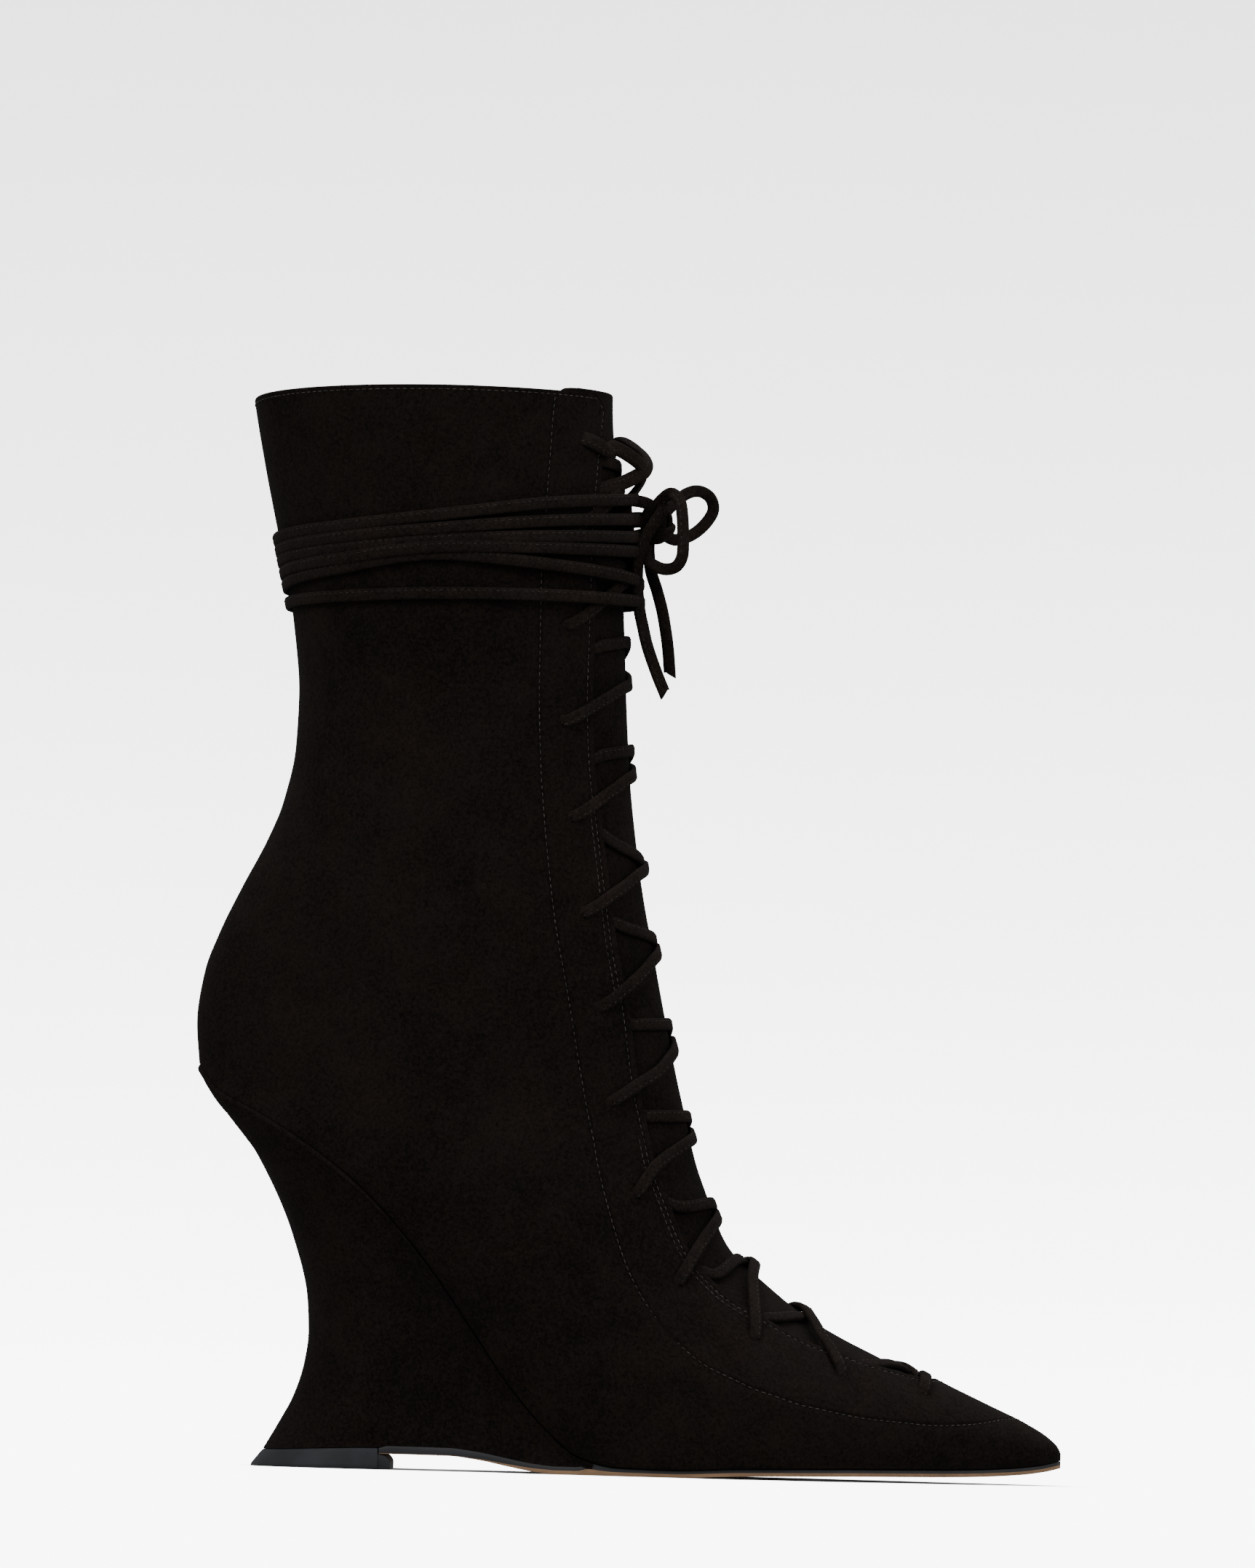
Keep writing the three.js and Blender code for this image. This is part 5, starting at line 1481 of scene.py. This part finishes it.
# The bow's routes, from the middle of the knot, which lies that far below the
# collar and out from the shaft's front
KNOT_DROP = 29.6
KNOT_OUT = 7.1
BOW = {
    "lace_loop_near": [
        (-1.0, -3.8, 3.4), (1.2, -5.0, 6.2), (3.6, -7.4, 7.6), (5.8, -10.0, 5.4),
        (6.6, -12.0, 1.0), (6.9, -13.4, -4.6), (6.8, -13.8, -9.4), (5.2, -13.2, -12.2),
        (2.2, -11.4, -12.8), (-0.8, -8.6, -11.4), (-2.6, -5.4, -9.4), (-2.8, -3.0, -6.0),
    ],
    "lace_loop_far": [
        (1.7, 3.4, 2.9), (6.4, 6.4, 8.0), (10.4, 8.8, 9.8), (13.8, 10.8, 8.4),
        (14.8, 11.8, 5.0), (12.6, 12.0, 1.2), (9.0, 10.6, -1.9), (4.8, 7.6, -3.4),
        (1.6, 4.2, -2.2),
    ],
    "lace_end_near": [
        (-2.8, -6.8, -3.8), (-4.5, -7.4, -8.6), (-4.9, -7.8, -14.9), (-4.2, -7.9, -22.5),
        (-3.0, -7.6, -28.0), (-1.6, -7.4, -33.3), (1.0, -7.0, -40.2), (3.2, -6.4, -45.2),
    ],
    "lace_end_far": [
        (-2.0, 1.6, -5.0), (-1.4, 1.0, -11.9), (0.4, 1.2, -17.4), (1.9, 1.3, -22.6),
        (3.0, 1.4, -28.0), (3.8, 1.5, -33.3), (4.4, 1.8, -39.6),
    ],
}
# How each is carried into the knot: points before its first one
INTO_KNOT = {
    "lace_loop_near": [(-3.4, -2.2, -0.4)],
    "lace_loop_far": [(0.2, 1.4, 0.4)],
    "lace_end_near": [(2.0, -3.6, 5.0), (1.0, -5.4, 2.6), (-0.8, -6.4, -0.4)],
    "lace_end_far": [(-0.6, 0.8, -1.0)],
}
# Straps from the front of the winding into the knot
TO_WINDING = [
    [(-9.5, -7.0, 5.2), (-6.4, -5.0, 5.6), (-2.6, -3.4, 5.0), (1.0, -2.4, 2.6)],
    [(-9.5, -6.0, -0.6), (-5.0, -3.4, 0.2), (-1.0, -1.6, 0.2)],
    [(-9.5, -6.5, -4.4), (-5.6, -3.6, -3.6), (-1.0, -1.8, -2.0)],
    [(-8.5, 5.0, 1.6), (-5.0, 3.2, 1.8), (-1.0, 1.6, 1.4)],
]
KNOT = np.array([
    float(front_x(COLLAR_ROW + 2)) + KNOT_OUT, 0.0, HEEL_HEIGHT + SHAFT_HEIGHT - KNOT_DROP,
])
KNOT_CORE = (3.3, 2.4, 4.4)
END_SLANT = 0.7


def bow_path(name):
    """A bow cord's points and up vectors, facing out of the knot to its side."""
    points = smooth_route(np.array(INTO_KNOT[name] + BOW[name]) + KNOT, 14)
    side = np.where(points[:, 1] < KNOT[1], -1.0, 1.0)
    ups = np.stack([np.full_like(side, 0.3), side, 0 * side], 1)
    return evenly(points, 0.6, unit(ups))


def knot_bands():
    """The knot's bands with their widths: rings by sines and cosines of one angle."""
    t = np.linspace(0, 2 * math.pi, 65)[:-1]
    cos, sin = np.cos(t), np.sin(t)
    return [
        (np.stack([3.6 * cos - 0.2, 0.5 * sin * cos, 4.9 * sin + 0.3], 1), 3.6),
        (np.stack([3.3 * cos + 0.6, 2.9 * sin, 1.2 * sin - 1.6], 1), 3.4),
        (np.stack([1.5 * cos - 1.6, 2.6 * sin, 4.1 * cos + 0.6], 1), 3.4),
        (np.stack([2.0 * cos - 0.6, 1.6 * sin, 2.6 * cos + 0.8], 1), 3.6),
    ]


def knot_core():
    """What fills the knot: an ellipsoid by the angle down and the angle round."""
    down = np.linspace(0, math.pi, 13)[:, None]
    around = np.linspace(0, 2 * math.pi, 25)[None, :]
    x, y, z = KNOT_CORE
    return np.stack([
        x * np.sin(down) * np.cos(around), y * np.sin(down) * np.sin(around),
        z * np.cos(down) + 0 * around,
    ], -1)


def make_knot(width, thick):
    """The knot: its bands, its core and the straps that tie it to the winding."""
    mould = Mould()
    for band, wide in knot_bands():
        strap(mould, band + KNOT, unit(band), wide, thick, closed=True)
    mould.cover(mould.add(knot_core() + KNOT), True)
    for route in TO_WINDING:
        points = smooth_route(np.array(route) + KNOT, 8)
        strap(mould, points, np.tile([0.25, -1.0, 0.0], (len(points), 1)), width, thick)
    settle(mould.mesh("bow_knot"), finish_of("lace"), ["lace_knot"])


def make_bow():
    """The knot, and the bow's loops and ends as limp cords out of it."""
    sizes = bpy.context.scene.boot_sizes
    width, thick = sizes.lace_width / MM, sizes.lace_thick / MM
    make_knot(width, thick)
    for name in BOW:
        is_end = name.startswith("lace_end")
        path, ups = bow_path(name)
        mould = Mould()
        strap(mould, path, ups, width, thick, slant=END_SLANT if is_end else 0.0)
        piece = mould.mesh("bow_" + name.removeprefix("lace_"))
        settle(piece, finish_of("lace"), [name])
        route = path * MM + HEEL_BACK
        tuple(route[0])


def make_lacing():
    """Both strands through their holes, and the slack ends over the tongue."""
    sizes = bpy.context.scene.boot_sizes
    width, thick = sizes.lace_width / MM, sizes.lace_thick / MM
    crossings = [f"lace_cross_{k:02d}" for k in range(1, HOLE_COUNT)]
    for first, path, ups in strand_paths():
        mould = Mould()
        strap(mould, path, ups, width, thick)
        name = "lacing_outer_strand" if first < 0 else "lacing_inner_strand"
        settle(mould.mesh(name), finish_of("lace"), crossings)
    mould = Mould()
    for _, path, ups in slack_paths():
        strap(mould, path, ups, width * SLACK_SPREAD, thick)
    settle(mould.mesh("lacing_slack_ends"), finish_of("lace"))


def make_winding():
    """The lace wound six times round the shaft."""
    sizes = bpy.context.scene.boot_sizes
    path, ups = winding_route()
    mould = Mould()
    strap(mould, path, ups, sizes.lace_width / MM, sizes.lace_thick / MM)
    settle(mould.mesh("lace_winding"), finish_of("lace"), ["lace_wrap"])


def make_holes():
    """Rims of the punched holes: rings let into the skin, at five radii and heights."""
    rows = np.repeat(hole_rows(), 2)
    sides = np.tile([-1.0, 1.0], HOLE_COUNT)
    angles = sides * behind_facing(rows, HOLE_INSET)
    centre, up = skin(rows, angles), skin_normal(rows, angles)
    along = unit(skin(rows + 0.05, angles) - skin(rows - 0.05, angles))
    across = np.cross(up, along)
    radius = np.array([0.3, 1.3, 1.55, 1.85, 2.1])
    height = np.array([-0.12, -0.06, 0.1, 0.07, -0.12])
    turn = np.arange(25) / 24 * 2 * math.pi
    mould = Mould()
    flat = along[:, None, None] * np.cos(turn)[None, None, :, None]
    flat = flat + across[:, None, None] * np.sin(turn)[None, None, :, None]
    grid = centre[:, None, None] + flat * radius[None, :, None, None]
    grid = grid + up[:, None, None] * height[None, :, None, None]
    for ring in grid:
        mould.cover(mould.add(ring))
    settle(mould.mesh("lace_hole_rims", 0), finish_of("wedge"))


# Stitches


def stitch_row(path, ups, off, lift, lead=0.5):
    """Places of the stitches on a line: middle, along, across and up of each.

    The line runs beside the route by off and over it by lift, and its stitches
    are one pitch apart along it.
    """
    sizes = bpy.context.scene.boot_sizes
    pitch = sizes.stitch_pitch / MM
    along, across, up = frames(path, ups)
    line = path + across * off + up * lift
    run = np.concatenate([[0], np.cumsum(np.linalg.norm(np.diff(line, axis=0), axis=1))])
    ways = np.arange(pitch * lead, run[-1] - pitch * 0.4, pitch)
    return [
        np.stack([np.interp(ways, run, v[:, k]) for k in range(3)], 1)
        for v in (line, along, across, up)
    ]


def sew(mould, rows):
    """Adds a stitch at each place: a bent thread, thick in the middle.

    Its middle line dips at both ends with the square of the way along, and its
    round section shrinks to its ends as a half ellipse.
    """
    sizes = bpy.context.scene.boot_sizes
    length, width = sizes.stitch_length / MM, sizes.stitch_width / MM
    t = np.array([-1, -0.8, -0.3, 0.3, 0.8, 1.0])
    swell = np.sqrt(1 - (t * 0.97) ** 2) ** 0.7
    turn = np.arange(6) / 6 * 2 * math.pi
    for place, along, across, up in rows:
        shift = along[:, None] * (t * length / 2)[None, :, None]
        shift = shift - up[:, None] * (t**2 * width * 0.8)[None, :, None]
        round_side = across[:, None, None] * np.cos(turn)[None, None, :, None]
        round_side = round_side + up[:, None, None] * np.sin(turn)[None, None, :, None]
        radius = (swell * width / 2)[None, :, None, None]
        numbers = mould.add(place[:, None, None] + shift[:, :, None] + round_side * radius)
        ring = np.concatenate([numbers, numbers[:, :, :1]], 2)
        a, b = ring[:, :-1, :-1], ring[:, 1:, :-1]
        c, d = ring[:, 1:, 1:], ring[:, :-1, 1:]
        mould.faces.append(np.stack([a, b, c, d], -1).reshape(-1, 4))


def skin_line(rows, angles, side):
    """Points and normals of a line on the skin at an even step."""
    at = rows - arch_above(rows, angles)
    return evenly(skin(at, side * angles), 0.7, skin_normal(at, side * angles))


def facing_edge(side):
    """The facing's edge from the collar round the throat's end to the ridge."""
    rows = np.concatenate([
        np.linspace(COLLAR_ROW + 0.08, THROAT_TURN, 260),
        THROAT_END - (THROAT_END - THROAT_TURN) * np.linspace(1, 0, 60)[1:] ** 2,
    ])
    angles = angle_at(rows, opening(rows))
    return skin_line(rows, angles, side)


def make_stitches():
    """Rows along the facings, the quarters' far seam and the collar."""
    mould, rows = Mould(), []
    for side in (-1, 1):
        edge, ups = facing_edge(side)
        rows.append(stitch_row(edge, ups, -side * NEAR_SEAM, 0.1))
        for start, end in DOUBLED:
            part = slice(int(len(edge) * start), int(len(edge) * end))
            off = -side * (NEAR_SEAM + SECOND_SEAM)
            rows.append(stitch_row(edge[part], ups[part], off, 0.08))
        at = np.linspace(COLLAR_ROW + 0.1, FAR_SEAM[-1, 0] - 0.005, 400)
        angles, run = walk(at, np.zeros_like(at), section(at)[-1], side)
        far = angles_after(angles, run, far_seam_at(at)[:, None])[:, 0]
        path, ups = skin_line(at, far, side)
        rows.append(stitch_row(path, ups, 0.0, 0.08))
        level = np.full(200, COLLAR_ROW + COLLAR_SEAM / COLLAR_STEP)
        start = float(angle_at(level[0], opening(level[0] + 0.3)) + 0.1)
        path, ups = skin_line(level, np.linspace(start, math.pi, 200), side)
        rows.append(stitch_row(path, ups, 0.0, 0.1))
    sew(mould, rows)
    settle(mould.mesh("upper_stitches", 0), finish_of("thread"))


def make_lace_stitches():
    """The row of stitches near one edge of the lace: strands, slack ends, winding and bow."""
    sizes = bpy.context.scene.boot_sizes
    lift = sizes.lace_thick / MM / 2 - 0.03
    off = sizes.lace_width / MM * 0.24
    mould, rows = Mould(), []
    for _, path, ups in [*strand_paths(), *slack_paths()]:
        rows.append(stitch_row(path, ups, off, lift))
    path, ups = winding_route()
    rows.append(stitch_row(path, ups, off, lift))
    for name in BOW:
        path, ups = bow_path(name)
        rows.append(stitch_row(path, ups, off, lift))
    sew(mould, rows)
    settle(mould.mesh("lace_stitches", 0), finish_of("lace_thread"))


# Camera, light and floor

PHOTO_MIDDLE = Vector((-0.0035, 0.0, 0.1815))
CAMERA_HEIGHT = 0.030
CAMERA_DISTANCE = 2.6
CAMERA_ROLL = math.radians(1.5)
PICTURE_HEIGHT = 0.4129  # what the picture shows at the boot, in metres
SENSOR = 36.0

SWEEP_RADIUS = 1.5
FLOOR_FRONT, FLOOR_BACK, WALL_TOP, PAPER_HALF = -6.0, 6.0, 5.0, 8.0
SKY_COLOUR, SKY_LIGHT = (0.93, 0.94, 0.96), 0.36
# Name, place, height of the target over the floor, power in watts, side in metres
LAMPS = [
    ("key_lamp", (-1.6, -2.2, 2.3), 0.12, 36, 1.8),
    ("fill_lamp", (2.2, -1.8, 1.4), 0.12, 22, 1.8),
    ("top_lamp", (0.0, 0.4, 2.6), 0.1, 33, 2.2),
]


def make_camera():
    """The photograph's view: square to the outer side, a little rolled."""
    data = bpy.data.cameras.new("photo_camera")
    camera = bpy.data.objects.new("photo_camera", data)
    bpy.context.scene.collection.objects.link(camera)
    camera.location = (PHOTO_MIDDLE.x, -CAMERA_DISTANCE, CAMERA_HEIGHT)
    towards = PHOTO_MIDDLE - camera.location
    turn = towards.to_track_quat("-Z", "Y").to_matrix().to_4x4()
    camera.rotation_euler = (turn @ Matrix.Rotation(CAMERA_ROLL, 4, "Z")).to_euler()
    data.sensor_fit = "VERTICAL"
    data.sensor_height = data.sensor_width = SENSOR
    data.lens = SENSOR * towards.length / PICTURE_HEIGHT
    data.clip_start, data.clip_end = 0.1, 20.0
    bpy.context.scene.camera = camera


def make_paper():
    """Studio paper: a floor, a quarter circle of the sweep's radius and a wall."""
    t = np.linspace(0, math.pi / 2, 33)
    y = np.concatenate([
        [FLOOR_FRONT], FLOOR_BACK + SWEEP_RADIUS * np.sin(t), [FLOOR_BACK + SWEEP_RADIUS],
    ])
    z = np.concatenate([[0.0], SWEEP_RADIUS - SWEEP_RADIUS * np.cos(t), [WALL_TOP]])
    x = np.tile([-PAPER_HALF, PAPER_HALF], (len(y), 1))
    points = np.stack([x, np.stack([y, y], 1), np.stack([z, z], 1)], -1)
    numbers = np.arange(2 * len(y)).reshape(-1, 2)
    faces = np.concatenate([numbers[:-1], numbers[1:, ::-1]], 1)
    mesh = bpy.data.meshes.new("studio_paper")
    mesh.from_pydata(points.reshape(-1, 3).tolist(), [], faces.tolist())
    mesh.shade_smooth()
    paper = bpy.data.objects.new("studio_paper", mesh)
    paper.data.materials.append(finish_of("paper"))
    paper.visible_diffuse = paper.visible_glossy = False
    bpy.context.scene.collection.objects.link(paper)


def make_stage():
    """Studio paper, three soft square lamps turned to the boot, and a pale sky."""
    make_paper()
    for name, place, height, power, size in LAMPS:
        data = bpy.data.lights.new(name, "AREA")
        data.energy, data.size = power, size
        lamp = bpy.data.objects.new(name, data)
        lamp.location = place
        towards = Vector((0, 0, height)) - Vector(place)
        lamp.rotation_euler = towards.to_track_quat("-Z", "Y").to_euler()
        bpy.context.scene.collection.objects.link(lamp)
    world = bpy.data.worlds.new("studio_sky")
    world.use_nodes = True
    sky = world.node_tree.nodes["Background"]
    sky.inputs["Color"].default_value = (*SKY_COLOUR, 1)
    sky.inputs["Strength"].default_value = SKY_LIGHT
    bpy.context.scene.world = world


class MakeCamera(bpy.types.Operator):
    """Sets up the view of the photograph"""

    bl_idname = "boot.camera"
    bl_label = "Camera"

    def execute(self, context):
        make_camera()
        return {"FINISHED"}


class MakeBow(bpy.types.Operator):
    """Ties the bow: the knot, its loops and its ends"""

    bl_idname = "boot.bow"
    bl_label = "Bow"

    def execute(self, context):
        make_bow()
        return {"FINISHED"}


class MakeUpper(bpy.types.Operator):
    """Makes the suede of the upper, with its creases and rolled edges"""

    bl_idname = "boot.upper"
    bl_label = "Suede upper"

    def execute(self, context):
        make_upper()
        return {"FINISHED"}


class MakeLining(bpy.types.Operator):
    """Lines the upper from a seam just below the collar"""

    bl_idname = "boot.lining"
    bl_label = "Lining"

    def execute(self, context):
        make_lining()
        return {"FINISHED"}


class MakeTongue(bpy.types.Operator):
    """Makes the tongue under the facings"""

    bl_idname = "boot.tongue"
    bl_label = "Tongue"

    def execute(self, context):
        make_tongue()
        return {"FINISHED"}


class MakeInsole(bpy.types.Operator):
    """Lays the insole on the feather line"""

    bl_idname = "boot.insole"
    bl_label = "Insole"

    def execute(self, context):
        make_insole()
        return {"FINISHED"}


class MakeWedge(bpy.types.Operator):
    """Makes the hollowed, covered wedge"""

    bl_idname = "boot.wedge"
    bl_label = "Wedge heel"

    def execute(self, context):
        make_wedge()
        return {"FINISHED"}


class MakeOutsole(bpy.types.Operator):
    """Makes the thin sole with its painted edge"""

    bl_idname = "boot.outsole"
    bl_label = "Outsole"

    def execute(self, context):
        make_outsole()
        return {"FINISHED"}


class MakeTopPiece(bpy.types.Operator):
    """Makes the rubber under the wedge and its lip"""

    bl_idname = "boot.top_piece"
    bl_label = "Top piece"

    def execute(self, context):
        make_top_piece()
        return {"FINISHED"}


class MakeLacing(bpy.types.Operator):
    """Laces both strands through their holes, with their slack ends"""

    bl_idname = "boot.lacing"
    bl_label = "Lacing"

    def execute(self, context):
        make_lacing()
        return {"FINISHED"}


class MakeWinding(bpy.types.Operator):
    """Winds the lace six times round the shaft"""

    bl_idname = "boot.winding"
    bl_label = "Winding"

    def execute(self, context):
        make_winding()
        return {"FINISHED"}


class MakeHoles(bpy.types.Operator):
    """Sets a rim in each lace hole"""

    bl_idname = "boot.holes"
    bl_label = "Lace holes"

    def execute(self, context):
        make_holes()
        return {"FINISHED"}


class MakeStitches(bpy.types.Operator):
    """Sews the rows along facings, quarters and collar"""

    bl_idname = "boot.stitches"
    bl_label = "Upper stitches"

    def execute(self, context):
        make_stitches()
        return {"FINISHED"}


class MakeLaceStitches(bpy.types.Operator):
    """Sews the row along the lace"""

    bl_idname = "boot.lace_stitches"
    bl_label = "Lace stitches"

    def execute(self, context):
        make_lace_stitches()
        return {"FINISHED"}


class MakeStage(bpy.types.Operator):
    """Sets up paper, lamps and sky"""

    bl_idname = "boot.stage"
    bl_label = "Stage"

    def execute(self, context):
        make_stage()
        return {"FINISHED"}


OPERATORS = [
    MakeCamera, MakeBow, MakeUpper, MakeLining, MakeTongue, MakeInsole, MakeWedge, MakeOutsole,
    MakeTopPiece, MakeLacing, MakeWinding, MakeHoles, MakeStitches, MakeLaceStitches, MakeStage,
]


class BOOT_PT_panel(bpy.types.Panel):
    """Sizes, colours and makers of the boot"""

    bl_label = "Boot"
    bl_space_type = "VIEW_3D"
    bl_region_type = "UI"
    bl_category = "Boot"

    def draw(self, context):
        for group in (context.scene.boot_sizes, context.scene.boot_colours):
            for name in group.__annotations__:
                self.layout.prop(group, name)
        for kind in OPERATORS:
            self.layout.operator(kind.bl_idname)


CLASSES = [BootSizes, BootColours, *OPERATORS, BOOT_PT_panel]


def register():
    """Registers the classes and hangs sizes and colours on the scene."""
    for kind in CLASSES:
        bpy.utils.register_class(kind)
    bpy.types.Scene.boot_sizes = bpy.props.PointerProperty(type=BootSizes)
    bpy.types.Scene.boot_colours = bpy.props.PointerProperty(type=BootColours)


def unregister():
    """Takes it all back, in the other order."""
    del bpy.types.Scene.boot_sizes
    del bpy.types.Scene.boot_colours
    for kind in reversed(CLASSES):
        bpy.utils.unregister_class(kind)


def main():
    register()
    bpy.ops.boot.camera()
    bpy.ops.boot.bow()
    bpy.ops.boot.upper()
    bpy.ops.boot.lining()
    bpy.ops.boot.tongue()
    bpy.ops.boot.insole()
    bpy.ops.boot.wedge()
    bpy.ops.boot.outsole()
    bpy.ops.boot.top_piece()
    bpy.ops.boot.lacing()
    bpy.ops.boot.winding()
    bpy.ops.boot.holes()
    bpy.ops.boot.stitches()
    bpy.ops.boot.lace_stitches()
    bpy.ops.boot.stage()


if __name__ == "__main__":
    main()
